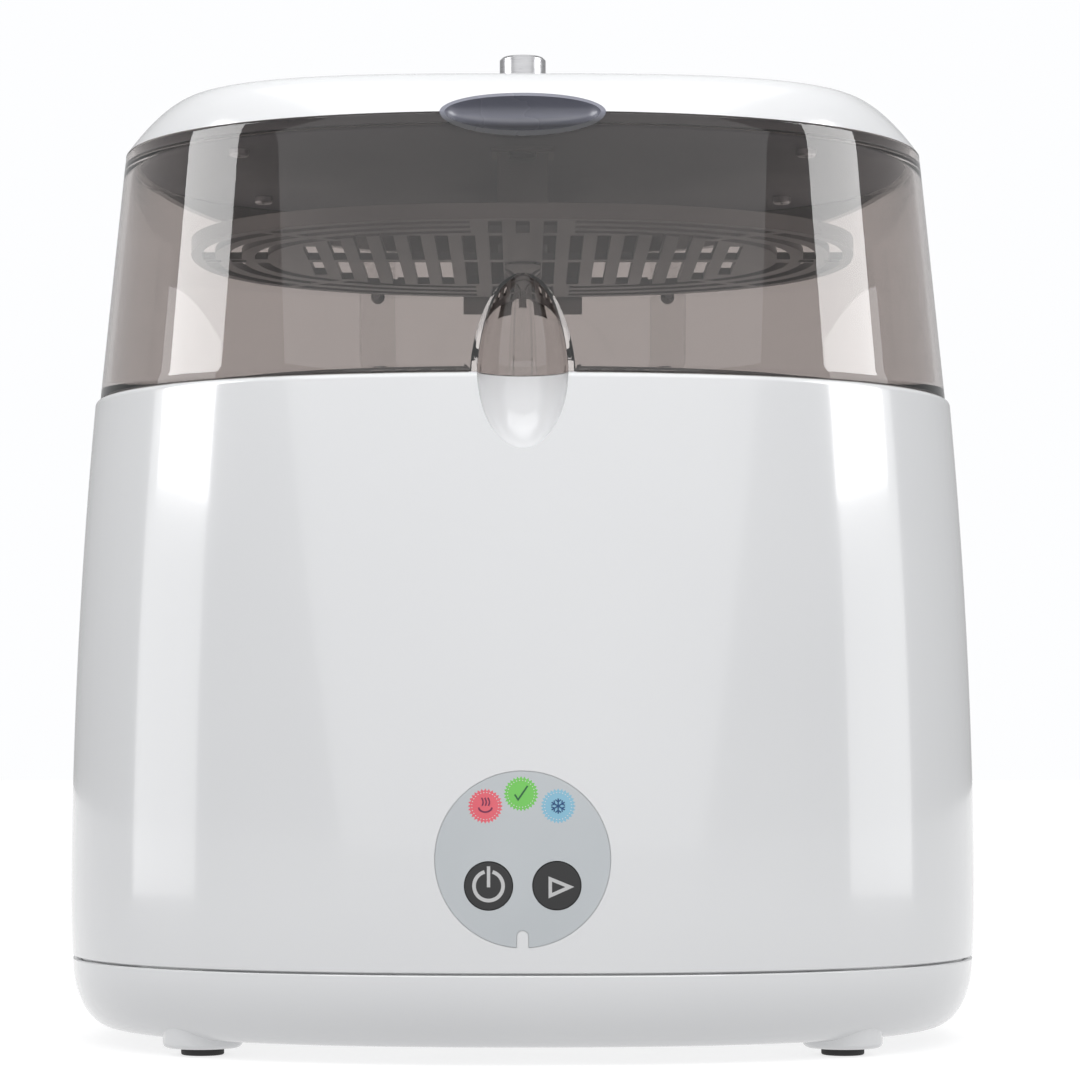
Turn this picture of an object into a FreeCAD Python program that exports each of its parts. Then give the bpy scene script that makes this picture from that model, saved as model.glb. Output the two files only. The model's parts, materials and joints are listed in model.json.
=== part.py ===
import FreeCAD, Part
import math
import os
from FreeCAD import Vector

# Electric steam sterilizer for baby bottles: white body on a base pan, smoked lid with a white
# cap hinged at the rear, slotted accessory tray on a post, heater in the floor of the tub.
# Millimetres. +X is the user's right, -Y the front, +Z up. The origin is the centre of the
# base, on the surface that it stands on.

# ---- driving dimensions ----
WIDTH = 300.0
DEPTH = 236.0
PLAN_POWER = 2.3          # superellipse power of the plan outline: 2 is an ellipse
OVAL_POINTS = 24
WALL = 2.6
GAP = 0.3                 # clearance between pieces that move apart

PAN_Z = 5.0               # underside of the base pan
SEAM_Z = 27.5             # joint between base pan and body
SEAM_GAP = 0.7
BELLY_Z = 50.0            # the widest height
RIM_Z = 211.0             # top of the body
CEILING_Z = 290.3         # underside of the lid's ceiling
CAP_Z = 293.3             # lower edge of the white cap
CAP_RISE = 15.8
CAP_DOME = 1.9

UPPER_BARREL_R = 1907.0   # radius of the side profile above the belly
LOWER_BARREL_R = 345.0    # and below it
PAN_CURVE = 13.0          # how far the pan curves inward down to its underside
PAN_LIP = 4.0             # how far the pan's inner lip reaches above and below the seam
LID_INSET = 8.2           # how far the lid's foot stands inside the widest outline
LID_TAPER = math.tan(math.radians(5.5))
CAP_SHOULDER = 21.0       # width of the cap's rounded shoulder
CAP_IN_POWER = 1.3        # how the shoulder closes inward and rises: powers of cosine and sine
CAP_UP_POWER = 2.0
CAP_PLAN_POWER = 3.1      # the plan gets squarer up to the shoulder's top
CAP_WALL = 2.2
RIM_ROUND = 1.8

TUB_X = 121.5             # inner half axes of the tub's mouth
TUB_Y = 88.0
TUB_WALL = 2.0
TUB_FLANGE = 4.0
TUB_TAPER = 6.0           # how much smaller the tub is at its floor
TUB_FLOOR_Z = 72.5        # top of the tub's floor
TUB_CORNER = 8.0
FLANGE_T = 2.6            # thickness of the body's top flange
TUB_TOP_Z = RIM_Z - FLANGE_T

SCOOP_R = 14.0
SCOOP_Y = -110.5          # vertical axis of the finger scoop
SCOOP_UP = 31.5
SCOOP_DOWN = 24.0
SCOOP_POINT = 1.15        # power that draws the upper end to a point
SCOOP_BACKING = 1.5       # how much thicker the body is behind the scoop than at its sides

PANEL_R = 26.5
PANEL_Z = 62.5
PANEL_T = 0.6
KEY_HALF_W = 1.7          # key that stands in a notch at the bottom of the panel
KEY_RISE = 3.3
LENS_R = 5.3
LENS_PLACES = {"steam_lens": (-11.3, 16.0), "ready_lens": (-0.5, 19.7), "cooling_lens": (10.7, 16.0)}
BUTTON_R = 7.15
BUTTON_PLACES = {"power_button": (-10.3, -8.0), "start_button": (10.3, -7.9)}
BUTTON_TRAVEL = 0.8
BUTTON_FLANGE_Y = -113.7  # front face of the flange, behind the wall
LIGHT_PIPE_R = 2.6
BOARD_Y = -103.5          # front face of the control board
BOARD_T = 1.6
LED_T = 1.2
SWITCH_T = 4.3            # tact switch with its plunger
BOARD_POSTS = [(-22.0, -21.0), (22.0, -21.0), (-23.0, 17.0), (23.0, 17.0)]

FOOT_PLACES = [(-100.5, -71.0), (100.5, -71.0), (-100.5, 71.0), (100.5, 71.0)]
FOOT_NAMES = ["foot_pad_front_left", "foot_pad_front_right", "foot_pad_rear_left", "foot_pad_rear_right"]
FOOT_BOSS_R = 12.5
FOOT_BOSS_Z = 2.3
FOOT_PAD_R = 6.75
FOOT_PEG_R = 2.5
BASE_SCREWS = [(-108.0, -46.0), (108.0, -46.0), (-108.0, 46.0), (108.0, 46.0)]

VENT_SLOT_PITCH = 8.0     # cooling slots in the underside
VENT_SLOT_Y = 40.0

PLATE_R = 72.0            # heating plate's flange
DISH_R = 61.0
DISH_Z = 64.8             # underside of the dish in the heating plate
PLATE_T = 1.2
STUD_R = 2.0
STUD_CIRCLE = 66.7
STUD_ANGLES = [45.0, 135.0, 225.0, 315.0]
ELEMENT_R = 42.0
ELEMENT_TUBE_R = 3.6

SCREW_HOLE_R = 1.4        # holes of the small screws at the rear

HINGE_X = 54.0
HINGE_Y = 112.4
HINGE_Z = 215.2
KNUCKLE_R = 4.6
PIN_R = 1.5
PIN_RUN = 0.05            # radial running clearance of the pin in the arm
ARM_W = 13.0
LUG_W = 4.5
ARM_TOP_Z = 276.0

VENT_Y = -46.0
VENT_R = 7.5
VENT_TOP_Z = 321.0
VENT_TUBE_R = 5.6
DUCT_W = 16.4
DUCT_D = 13.0
DUCT_WALL = 1.9
DUCT_BOTTOM_Z = 272.0

POCKET_X = 26.0           # half axes of the grip pocket
POCKET_Y = 11.0
POCKET_Z = 8.2
POCKET_MID_Z = 293.6
POCKET_WALL = 1.6

TRAY_Z = 260.0            # underside of the accessory tray
TRAY_T = 2.4
TRAY_X = 127.0
TRAY_Y = 92.5
TRAY_MID_Y = -5.5
TRAY_LIP = 5.0
SLOT_W = 5.0
SLOT_PITCH = 10.0

RACK_Z = 82.0             # underside of the bottle rack's plate
RACK_T = 2.6
RACK_X = 104.0
RACK_Y = 72.0
BOTTLE_PLACES = {"bottle_peg_front_left": (-60.0, -35.0), "bottle_peg_front_middle": (0.0, -35.0),
                 "bottle_peg_front_right": (60.0, -35.0), "bottle_peg_rear_left": (-60.0, 35.0),
                 "bottle_peg_rear_middle": (0.0, 35.0), "bottle_peg_rear_right": (60.0, 35.0)}
PEG_HEIGHT = 46.0
RACK_LEGS = [(-84.0, -24.0), (84.0, -24.0), (-84.0, 24.0), (84.0, 24.0)]
POST_R = 6.2

GLAND_X = -60.0           # cord gland in the rear of the body
GLAND_Z = 44.0
GLAND_HALF = 5.4          # the gland's neck is square, so that it can't turn in the wall
CORD_HOLE_R = 3.6
GLAND_IN_Y = 100.0
GLAND_OUT_Y = 115.0

POWER_BOARD_Z = 14.0
POWER_POSTS = [(-38.0, -22.0), (38.0, -22.0), (-38.0, 22.0), (38.0, 22.0)]

BRACKET_SCREW_Z = 201.0
BRACKET_SCREWS = {48.0: 103.2, 60.0: 100.4}      # distance out from the middle: seat of the head
BRACKET_SCREW_REACH = 9.0
ARM_SCREW_Z = [236.0, 262.0]
CAP_SCREWS = [(-92.0, -48.0), (92.0, -48.0), (-92.0, 48.0), (92.0, 48.0)]
SKIRT_T = 2.2             # rear skirt and tongue of the cap
SKIRT_Z = 277.5
TONGUE_X = 22.0
TONGUE_Z = 222.0


FRONT_TOOL = (-125.0, -100.0)     # cutting tools run this far along Y through the front wall
REAR_TOOL = (80.0, 125.0)         # and through the rear wall
DRILL = (-1.0, 400.0)             # and this far along Z through the whole object


# ---- basic shapes ----
def box(x0, y0, z0, x1, y1, z1):
    return Part.makeBox(x1 - x0, y1 - y0, z1 - z0, Vector(x0, y0, z0))


def cyl(r, z0, z1, x=0.0, y=0.0):
    return Part.makeCylinder(r, z1 - z0, Vector(x, y, z0))


def cyl_y(r, y0, y1, x, z):
    return Part.makeCylinder(r, y1 - y0, Vector(x, y0, z), Vector(0, 1, 0))


def cyl_x(r, x0, x1, y, z):
    return Part.makeCylinder(r, x1 - x0, Vector(x0, y, z), Vector(1, 0, 0))


def ring(r_out, r_in, z0, z1, x=0.0, y=0.0):
    return cyl(r_out, z0, z1, x, y).cut(cyl(r_in, z0 - 1, z1 + 1, x, y))


def front_tool(r, x, z, end=FRONT_TOOL[1]):
    """Cylinder through the front wall, at x and z from the middle of the control panel."""
    return cyl_y(r, FRONT_TOOL[0], end, x, PANEL_Z + z)


def rear_tool(r, x, z):
    return cyl_y(r, *REAR_TOOL, x, z)


def drill(shape, r, places):
    """Holes straight down through a shape, each at a place (x, y)."""
    for x, y in places:
        shape = shape.cut(cyl(r, *DRILL, x, y))
    return shape


def fuse(shapes):
    whole = shapes[0].fuse(shapes[1:]) if len(shapes) > 1 else shapes[0]
    return whole.removeSplitter()


def stadium(cx, cy, half_x, half_y, z0, z1):
    """Upright slot with round ends, longer along X or along Y."""
    r = min(half_x, half_y)
    dx = half_x - r
    dy = half_y - r
    core = box(cx - dx - (r if dy else 0), cy - dy - (r if dx else 0), z0,
               cx + dx + (r if dy else 0), cy + dy + (r if dx else 0), z1)
    return fuse([core, cyl(r, z0, z1, cx - dx, cy - dy), cyl(r, z0, z1, cx + dx, cy + dy)])


def revolve(points, x=0.0, y=0.0):
    """Solid of revolution about the vertical line through x, y from (radius, z) corners."""
    corners = [Vector(x + r, y, z) for r, z in points]
    face = Part.Face(Part.makePolygon(corners + corners[:1]))
    return face.revolve(Vector(x, y, 0), Vector(0, 0, 1), 360)


# ---- the outline in plan and the lofted skins ----
def oval(half_x, half_y, z, mid_y=0.0, power=PLAN_POWER):
    """Closed superellipse at height z, in a rear and a front half that meet smoothly."""
    points = []
    for i in range(OVAL_POINTS):
        t = 2 * math.pi * i / OVAL_POINTS
        c, s = math.cos(t), math.sin(t)
        x = half_x * math.copysign(abs(c) ** (2 / power), c)
        y = half_y * math.copysign(abs(s) ** (2 / power), s)
        points.append(Vector(x, y + mid_y, z))
    curve = Part.BSplineCurve()
    curve.interpolate(Points=points, PeriodicFlag=True)
    half_way = curve.parameter(points[OVAL_POINTS // 2])
    return Part.Wire([curve.toShape(curve.FirstParameter, half_way),
                      curve.toShape(half_way, curve.LastParameter)])


def loft(wires):
    return Part.makeLoft(wires, True, False)


def skin(levels):
    """Solid through ovals, each given as how far it lies inside the widest outline, and z."""
    return loft([oval(WIDTH / 2 - inset, DEPTH / 2 - inset, z) for inset, z in levels])


def prism(half_x, half_y, z0, z1, mid_y=0.0):
    return Part.Face(oval(half_x, half_y, z0, mid_y)).extrude(Vector(0, 0, z1 - z0))


def body_inset(z):
    radius = UPPER_BARREL_R if z > BELLY_Z else LOWER_BARREL_R
    return (z - BELLY_Z) ** 2 / (2 * radius)


def body_solid(inward, z0, z1):
    step = (z1 - z0) / 5
    return skin([(body_inset(z0 + i * step) + inward, z0 + i * step) for i in range(6)])


def lid_inset(z):
    return LID_INSET + LID_TAPER * (z - RIM_Z)


def lid_solid(inward, z0, z1):
    return skin([(lid_inset(z) + inward, z) for z in (z0, z1)])


def pan_solid(inward):
    """The pan's outer skin, or its cavity when inward is the wall."""
    levels = []
    drop = SEAM_Z - PAN_Z - inward
    for degrees in (90, 72, 54, 36, 18, 0):
        a = math.radians(degrees)
        inset = body_inset(SEAM_Z) + inward + PAN_CURVE * (1 - math.cos(a))
        levels.append((inset, SEAM_Z - drop * math.sin(a)))
    return skin(levels)


def cap_solid(inward):
    """The cap's outer skin, or its hollow when inward is the wall."""
    start = lid_inset(CAP_Z) + inward
    rise = CAP_RISE - inward
    shoulder = []
    for degrees in (0, 20, 35, 50, 66, 90):
        a = math.radians(degrees)
        share = 1 - math.cos(a) ** CAP_IN_POWER
        inset = start + CAP_SHOULDER * share
        z = CAP_Z + rise * math.sin(a) ** CAP_UP_POWER
        shoulder.append(oval(WIDTH / 2 - inset, DEPTH / 2 - inset, z,
                             power=PLAN_POWER + (CAP_PLAN_POWER - PLAN_POWER) * share))
    half_x = WIDTH / 2 - start - CAP_SHOULDER
    half_y = DEPTH / 2 - start - CAP_SHOULDER
    dome = [oval(half_x * share, half_y * share, CAP_Z + rise + CAP_DOME * (1 - share ** 2),
                 power=CAP_PLAN_POWER) for share in (1.0, 0.7, 0.4, 0.1)]
    return loft(shoulder).fuse(loft(dome))


def scoop_solid(grow):
    """Bullet-shaped finger scoop about a vertical axis, pointed upward and round below."""
    top = []
    bottom = []
    for degrees in (0, 18, 36, 54, 72, 90):
        a = math.radians(degrees)
        y = SCOOP_Y - (SCOOP_R + grow) * math.cos(a)
        top.append(Vector(0, y, RIM_Z + (SCOOP_UP + grow) * math.sin(a) ** SCOOP_POINT))
        bottom.append(Vector(0, y, RIM_Z - (SCOOP_DOWN + grow) * math.sin(a)))
    upper = Part.BSplineCurve()
    upper.interpolate(top)
    lower = Part.BSplineCurve()
    lower.interpolate(bottom)
    axis = Part.LineSegment(top[-1], bottom[-1])
    face = Part.Face(Part.Wire([upper.toShape(), axis.toShape(), lower.toShape()]))
    return face.revolve(Vector(0, SCOOP_Y, 0), Vector(0, 0, 1), 360)


def ellipsoid(half_x, half_y, half_z, x, y, z):
    stretch = FreeCAD.Matrix()
    stretch.scale(half_x, half_y, half_z)
    shape = Part.makeSphere(1.0).transformGeometry(stretch)
    shape.translate(Vector(x, y, z))
    return shape


def shifted(shape, dx, dy, dz):
    moved = shape.copy()
    moved.translate(Vector(dx, dy, dz))
    return moved


BODY_OUTER = body_solid(0.0, SEAM_Z + SEAM_GAP, RIM_Z)
LID_OUTER = lid_solid(0.0, RIM_Z + GAP, CAP_Z)
CAP_OUTER = cap_solid(0.0)


# ---- fasteners ----
def pan_screw(x, y, z_head, length, r=2.0, head_r=3.6):
    """Screw driven upward: head at the bottom, with a cross recess."""
    head = revolve([(0, z_head), (head_r - 0.5, z_head), (head_r, z_head + 0.6),
                    (head_r, z_head + 2.2), (0, z_head + 2.2)], x, y)
    shank = cyl(r, z_head + 2.2, z_head + length, x, y)
    cross = fuse([box(x - 1.8, y - 0.4, z_head - 1, x + 1.8, y + 0.4, z_head + 1.1),
                  box(x - 0.4, y - 1.8, z_head - 1, x + 0.4, y + 1.8, z_head + 1.1)])
    return fuse([head, shank]).cut(cross)


def rear_screw(x, y_head, z, length, r=SCREW_HOLE_R, head_r=2.6):
    """Screw driven forward or rearward from y_head; a negative length runs to the front."""
    away = 1.0 if length > 0 else -1.0
    head = Part.makeCylinder(head_r, 1.8, Vector(x, y_head, z), Vector(0, away, 0))
    shank = Part.makeCylinder(r, abs(length), Vector(x, y_head, z), Vector(0, away, 0))
    return fuse([head, shank])


# ---- base ----
def base_pan():
    shell = pan_solid(0.0).cut(pan_solid(WALL))
    lip = body_solid(WALL + GAP, SEAM_Z - PAN_LIP, SEAM_Z + PAN_LIP)
    lip = lip.fuse(body_solid(WALL - 0.6, SEAM_Z - PAN_LIP, SEAM_Z - 0.5))
    room = body_solid(WALL + GAP + 1.8, SEAM_Z - PAN_LIP - 1.0, SEAM_Z + PAN_LIP + 1.0)
    parts = [shell, lip.cut(room)]
    for x, y in FOOT_PLACES:
        boss = cyl(FOOT_BOSS_R, FOOT_BOSS_Z, 20.0, x, y)
        lower = [e for e in boss.Edges if e.BoundBox.ZMax < FOOT_BOSS_Z + 0.01]
        parts.append(boss.makeFillet(1.6, lower))
    for x, y in BASE_SCREWS:
        parts.append(cyl(6.0, PAN_Z, SEAM_Z + 2.0, x, y))
    for x, y in POWER_POSTS:
        parts.append(cyl(3.0, PAN_Z + 1.0, POWER_BOARD_Z, x, y))
    pan = fuse(parts)
    for x, y in FOOT_PLACES:
        pan = pan.cut(cyl(FOOT_PEG_R, 0.0, 9.0, x, y))
    for x, y in BASE_SCREWS:
        pan = pan.cut(cyl(4.2, 0.0, 12.0, x, y))
    pan = drill(pan, 2.3, BASE_SCREWS)
    for i in range(-3, 4):
        pan = pan.cut(stadium(VENT_SLOT_PITCH * i, VENT_SLOT_Y, 1.6, 14.0, 0.0, PAN_Z + WALL + 1.0))
    return pan


def foot_pad(x, y):
    pad = cyl(FOOT_PAD_R, 0.0, FOOT_BOSS_Z, x, y)
    edge = [e for e in pad.Edges if e.BoundBox.ZMax < 0.01]
    return fuse([pad.makeFillet(0.6, edge), cyl(FOOT_PEG_R, FOOT_BOSS_Z - 0.5, 8.0, x, y)])


def base_screws():
    return Part.makeCompound([pan_screw(x, y, 9.8, 36.0) for x, y in BASE_SCREWS])


# ---- body ----
def front_layer(tool, depth):
    """What the tool takes of the body's skin, down to the given depth behind the front."""
    return tool.common(BODY_OUTER).cut(shifted(BODY_OUTER, 0, depth, 0))


def panel_key(grow):
    """U-shaped key that stands in a notch at the bottom of the panel."""
    low = PANEL_Z - PANEL_R
    half = KEY_HALF_W + grow
    stem = box(-half, FRONT_TOOL[0], low - 2.0, half, FRONT_TOOL[1], low + KEY_RISE)
    return fuse([stem, cyl_y(half, *FRONT_TOOL, 0.0, low + KEY_RISE)])


def rim_edge(shape):
    return [e for e in shape.Edges if e.BoundBox.ZMin > RIM_Z - 0.01 and e.BoundBox.XMax > WIDTH / 2 - 9.0]


def body_shell():
    shell = BODY_OUTER.cut(body_solid(WALL, SEAM_Z - 1.0, TUB_TOP_Z))
    shell = shell.makeFillet(RIM_ROUND, rim_edge(shell))
    shell = shell.cut(prism(TUB_X + 1.0, TUB_Y + 1.0, TUB_TOP_Z - 1.0, RIM_Z + 1.0))
    scoop_wall = shifted(scoop_solid(WALL), 0, SCOOP_BACKING, 0).common(shifted(BODY_OUTER, 0, 0.05, -0.01))
    shell = shell.fuse(scoop_wall).cut(scoop_solid(0.0))
    recess = front_tool(PANEL_R + 0.2, 0.0, 0.0).cut(panel_key(0.0))
    shell = shell.cut(front_layer(recess, PANEL_T))
    cavity = body_solid(WALL - 0.5, SEAM_Z - 1.0, TUB_TOP_Z)
    for x, z in BOARD_POSTS:
        shell = shell.fuse(cyl_y(3.0, -120.0, BOARD_Y, x, PANEL_Z + z).common(cavity))
        shell = shell.cut(cyl_y(1.3, BOARD_Y - 7.0, BOARD_Y + 1.0, x, PANEL_Z + z))
    for x, y in BASE_SCREWS:
        side = math.copysign(1.0, x)
        post = cyl(5.5, SEAM_Z + 2.0, 62.0, x, y)
        rib = box(min(x, side * 150.0), y - 1.4, SEAM_Z + 5.5, max(x, side * 150.0), y + 1.4, 62.0)
        shell = shell.fuse(fuse([post, rib]).common(cavity))
        shell = shell.cut(cyl(2.0, SEAM_Z, 50.0, x, y))
    for x, z in BUTTON_PLACES.values():
        shell = shell.cut(front_tool(BUTTON_R + GAP, x, z))
    for x, z in LENS_PLACES.values():
        shell = shell.cut(front_tool(LIGHT_PIPE_R + 0.1, x, z))
    shell = shell.cut(gland_neck(*REAR_TOOL))
    for away in BRACKET_SCREWS:
        for x in (-away, away):
            shell = shell.cut(rear_tool(SCREW_HOLE_R, x, BRACKET_SCREW_Z))
    return shell


def panel_overlay():
    disc = front_tool(PANEL_R, 0.0, 0.0).cut(panel_key(0.15))
    for x, z in BUTTON_PLACES.values():
        disc = disc.cut(front_tool(BUTTON_R + GAP, x, z))
    for x, z in LENS_PLACES.values():
        disc = disc.cut(front_tool(LENS_R, x, z))
    return front_layer(disc, PANEL_T)


def lens(x, z):
    """Face flush with the panel and a light pipe that ends just over its lamp."""
    face = front_layer(front_tool(LENS_R, x, z), PANEL_T)
    pipe = front_tool(LIGHT_PIPE_R, x, z, BOARD_Y - LED_T - 0.5).common(BODY_OUTER)
    return fuse([face, pipe])


def button(x, z):
    """Cap flush with the skin, flange behind the wall, and a stem to the switch."""
    cap = front_tool(BUTTON_R, x, z, BUTTON_FLANGE_Y + 0.7).common(BODY_OUTER)
    flange = cyl_y(BUTTON_R + 1.4, BUTTON_FLANGE_Y, BUTTON_FLANGE_Y + 1.3, x, PANEL_Z + z)
    stem = cyl_y(2.0, BUTTON_FLANGE_Y + 1.1, BOARD_Y - SWITCH_T - BUTTON_TRAVEL - 0.1, x, PANEL_Z + z)
    return fuse([cap, flange, stem])


def control_board():
    board = box(-27.0, BOARD_Y, PANEL_Z - 25.0, 27.0, BOARD_Y + BOARD_T, PANEL_Z + 25.0)
    for x, z in BOARD_POSTS:
        board = board.cut(cyl_y(1.5, BOARD_Y - 1.0, BOARD_Y + BOARD_T + 1.0, x, PANEL_Z + z))
    socket = box(-9.0, BOARD_Y + BOARD_T, PANEL_Z - 4.0, 9.0, BOARD_Y + BOARD_T + 6.0, PANEL_Z + 2.0)
    return fuse([board, socket])


def indicator_leds():
    leds = []
    for x, z in LENS_PLACES.values():
        leds.append(box(x - 1.6, BOARD_Y - LED_T, PANEL_Z + z - 1.6, x + 1.6, BOARD_Y, PANEL_Z + z + 1.6))
    return Part.makeCompound(leds)


def tact_switches():
    switches = []
    for x, z in BUTTON_PLACES.values():
        body = box(x - 3.0, BOARD_Y - 3.5, PANEL_Z + z - 3.0, x + 3.0, BOARD_Y, PANEL_Z + z + 3.0)
        plunger = cyl_y(1.6, BOARD_Y - SWITCH_T, BOARD_Y - 3.4, x, PANEL_Z + z)
        switches.append(fuse([body, plunger]))
    return Part.makeCompound(switches)


def board_screws():
    y = BOARD_Y + BOARD_T + 1.8
    return Part.makeCompound([rear_screw(x, y, PANEL_Z + z, -9.0, 1.3, 2.6) for x, z in BOARD_POSTS])


# ---- cord gland at the rear ----
def gland_neck(y0, y1):
    return box(GLAND_X - GLAND_HALF, y0, GLAND_Z - GLAND_HALF,
               GLAND_X + GLAND_HALF, y1, GLAND_Z + GLAND_HALF)


def cord_gland():
    """Flange outside the rear wall, a square neck through it and a round nut inside."""
    flange = cyl_y(8.6, 104.0, GLAND_OUT_Y, GLAND_X, GLAND_Z).cut(BODY_OUTER)
    edge = [e for e in flange.Edges if e.BoundBox.YMin > GLAND_OUT_Y - 0.01]
    flange = flange.makeFillet(1.2, edge)
    nut = cyl_y(8.6, GLAND_IN_Y, GLAND_IN_Y + 3.0, GLAND_X, GLAND_Z)
    solid = fuse([flange, gland_neck(GLAND_IN_Y, GLAND_OUT_Y - 2.0), nut])
    return solid.cut(cyl_y(CORD_HOLE_R, GLAND_IN_Y - 1.0, GLAND_OUT_Y + 1.0, GLAND_X, GLAND_Z))


# ---- power electronics on the pan ----
def power_board():
    board = box(-43.0, -27.0, POWER_BOARD_Z, 43.0, 27.0, POWER_BOARD_Z + BOARD_T)
    return drill(board, 1.6, POWER_POSTS)


def relay():
    body = box(8.0, -8.0, POWER_BOARD_Z + BOARD_T, 27.0, 8.0, POWER_BOARD_Z + 17.0)
    edges = [e for e in body.Edges if e.BoundBox.ZMin > POWER_BOARD_Z + 2.0 and e.Length > 1.0]
    return body.makeFillet(0.8, edges)


def transformer():
    z = POWER_BOARD_Z + BOARD_T
    core = box(-26.0, -12.0, z + 2.0, 0.0, 12.0, z + 20.0)
    coil = fuse([box(-21.0, -15.0, z, -5.0, 15.0, z + 22.0), box(-23.0, -8.0, z, -3.0, 8.0, z + 4.0)])
    return fuse([core, coil])


def terminal_block():
    z = POWER_BOARD_Z + BOARD_T
    body = box(-33.0, 16.5, z, 3.0, 26.0, z + 11.0)
    for i in range(4):
        body = body.cut(cyl(2.6, z + 7.0, z + 12.0, -28.5 + 9.0 * i, 21.2))
        body = body.cut(box(-31.0 + 9.0 * i, 22.0, z + 1.5, -26.0 + 9.0 * i, 27.0, z + 5.5))
    return body


def power_board_screws():
    z = POWER_BOARD_Z + BOARD_T
    screws = []
    for x, y in POWER_POSTS:
        screws.append(fuse([cyl(2.8, z, z + 2.0, x, y), cyl(1.5, POWER_BOARD_Z, z + 1.0, x, y)]))
    return Part.makeCompound(screws)


# ---- tub and heater ----
def tub_skin(outward, bottom):
    """The tub's cavity, or its outside when outward is the wall; bottom is the lowest level."""
    foot = oval(TUB_X - TUB_TAPER + outward, TUB_Y - TUB_TAPER + outward, bottom)
    mouth = oval(TUB_X + outward, TUB_Y + outward, TUB_TOP_Z)
    solid = loft([foot, mouth])
    edge = [e for e in solid.Edges if e.BoundBox.ZMax < bottom + 0.1]
    return solid.makeFillet(TUB_CORNER + outward, edge)


def around(r, angles):
    return [(r * math.cos(math.radians(a)), r * math.sin(math.radians(a))) for a in angles]


STUD_PLACES = around(STUD_CIRCLE, STUD_ANGLES)


def inner_tub():
    outside = tub_skin(TUB_WALL, TUB_FLOOR_Z - 2.5)
    flange = prism(TUB_X + TUB_FLANGE, TUB_Y + TUB_FLANGE, TUB_TOP_Z - 2.2, TUB_TOP_Z)
    tub = outside.fuse(flange).cut(tub_skin(0.0, TUB_FLOOR_Z))
    tub = drill(tub, DISH_R + 0.8, [(0.0, 0.0)])
    return drill(tub, STUD_R + 0.2, STUD_PLACES).removeSplitter()


def heating_plate():
    top = TUB_FLOOR_Z + 1.5
    dish = revolve([(0, DISH_Z), (DISH_R, DISH_Z), (DISH_R, top), (PLATE_R, top), (PLATE_R, top + PLATE_T),
                    (DISH_R - PLATE_T, top + PLATE_T), (DISH_R - PLATE_T, DISH_Z + PLATE_T),
                    (0, DISH_Z + PLATE_T)])
    studs = [cyl(STUD_R, DISH_Z - 2.0, top + 0.5, x, y) for x, y in STUD_PLACES]
    return fuse([dish] + studs)


def plate_seal():
    seal = ring(PLATE_R - 0.5, DISH_R + 0.1, TUB_FLOOR_Z, TUB_FLOOR_Z + 1.5)
    return drill(seal, STUD_R, STUD_PLACES)


def plate_clamp_ring():
    top = TUB_FLOOR_Z - 2.5
    clamp = ring(PLATE_R + 1.0, DISH_R + 1.0, top - 2.0, top)
    return drill(clamp, STUD_R + 0.2, STUD_PLACES)


def plate_nuts():
    top = TUB_FLOOR_Z - 4.5
    nuts = []
    for x, y in STUD_PLACES:
        corners = [Vector(x + dx, y + dy, top - 3.0) for dx, dy in around(3.9, range(0, 361, 60))]
        nut = Part.Face(Part.makePolygon(corners)).extrude(Vector(0, 0, 3.0))
        nuts.append(drill(nut, STUD_R, [(x, y)]))
    return Part.makeCompound(nuts)


def heating_element():
    z = DISH_Z - ELEMENT_TUBE_R + 0.4
    loop = Part.makeTorus(ELEMENT_R, ELEMENT_TUBE_R, Vector(0, 0, z), Vector(0, 0, 1), 0, 360, 320)
    loop.rotate(Vector(0, 0, 0), Vector(0, 0, 1), 110)
    legs = []
    for x, y in around(ELEMENT_R, (110.0, 70.0)):
        legs.append(Part.makeSphere(ELEMENT_TUBE_R, Vector(x, y, z)))
        legs.append(cyl(ELEMENT_TUBE_R, z - 10.0, z, x, y))
        legs.append(box(x - 0.4, y - 3.0, z - 18.0, x + 0.4, y + 3.0, z - 9.0))
    return fuse([loop] + legs).cut(box(-60, -60, DISH_Z, 60, 60, DISH_Z + 9))


def thermostat():
    body = revolve([(0, DISH_Z - 7.5), (7.0, DISH_Z - 7.5), (7.0, DISH_Z - 3.0), (9.0, DISH_Z - 3.0),
                    (9.0, DISH_Z), (0, DISH_Z)], 14.0, 0.0)
    blades = [box(x - 3.0, -0.4, DISH_Z - 14.0, x + 3.0, 0.4, DISH_Z - 7.0) for x in (9.8, 18.2)]
    return fuse([body] + blades)


def thermal_fuse():
    capsule = cyl_x(2.6, -24.0, -10.0, 0.0, DISH_Z - 2.6)
    clip = fuse([box(-20.0, -9.0, DISH_Z - 1.0, -14.0, 9.0, DISH_Z),
                 box(-20.0, -3.6, DISH_Z - 6.2, -14.0, 3.6, DISH_Z - 0.5)])
    return fuse([capsule, clip])


# ---- rack, post and tray ----
def bottle_rack():
    """Perforated plate with a low rim on four legs, a seat for each bottle peg and the post."""
    plate = prism(RACK_X, RACK_Y, RACK_Z, RACK_Z + RACK_T)
    rim = prism(RACK_X, RACK_Y, RACK_Z, RACK_Z + 9.0).cut(prism(RACK_X - 2.2, RACK_Y - 2.2, 0.0, 200.0))
    parts = [plate, rim, cyl(11.0, RACK_Z, RACK_Z + 14.0)]
    for x, y in RACK_LEGS:
        parts.append(cyl(3.5, TUB_FLOOR_Z, RACK_Z + 1.0, x, y))
    rack = drill(fuse(parts), 5.0, BOTTLE_PLACES.values())
    for x, y in BOTTLE_PLACES.values():
        rack = drill(rack, 3.6, [(x + dx, y + dy) for dx, dy in around(24.0, range(0, 360, 60))])
    return rack.cut(cyl(POST_R + 3.0, RACK_Z + 4.0, RACK_Z + 20.0))


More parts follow.
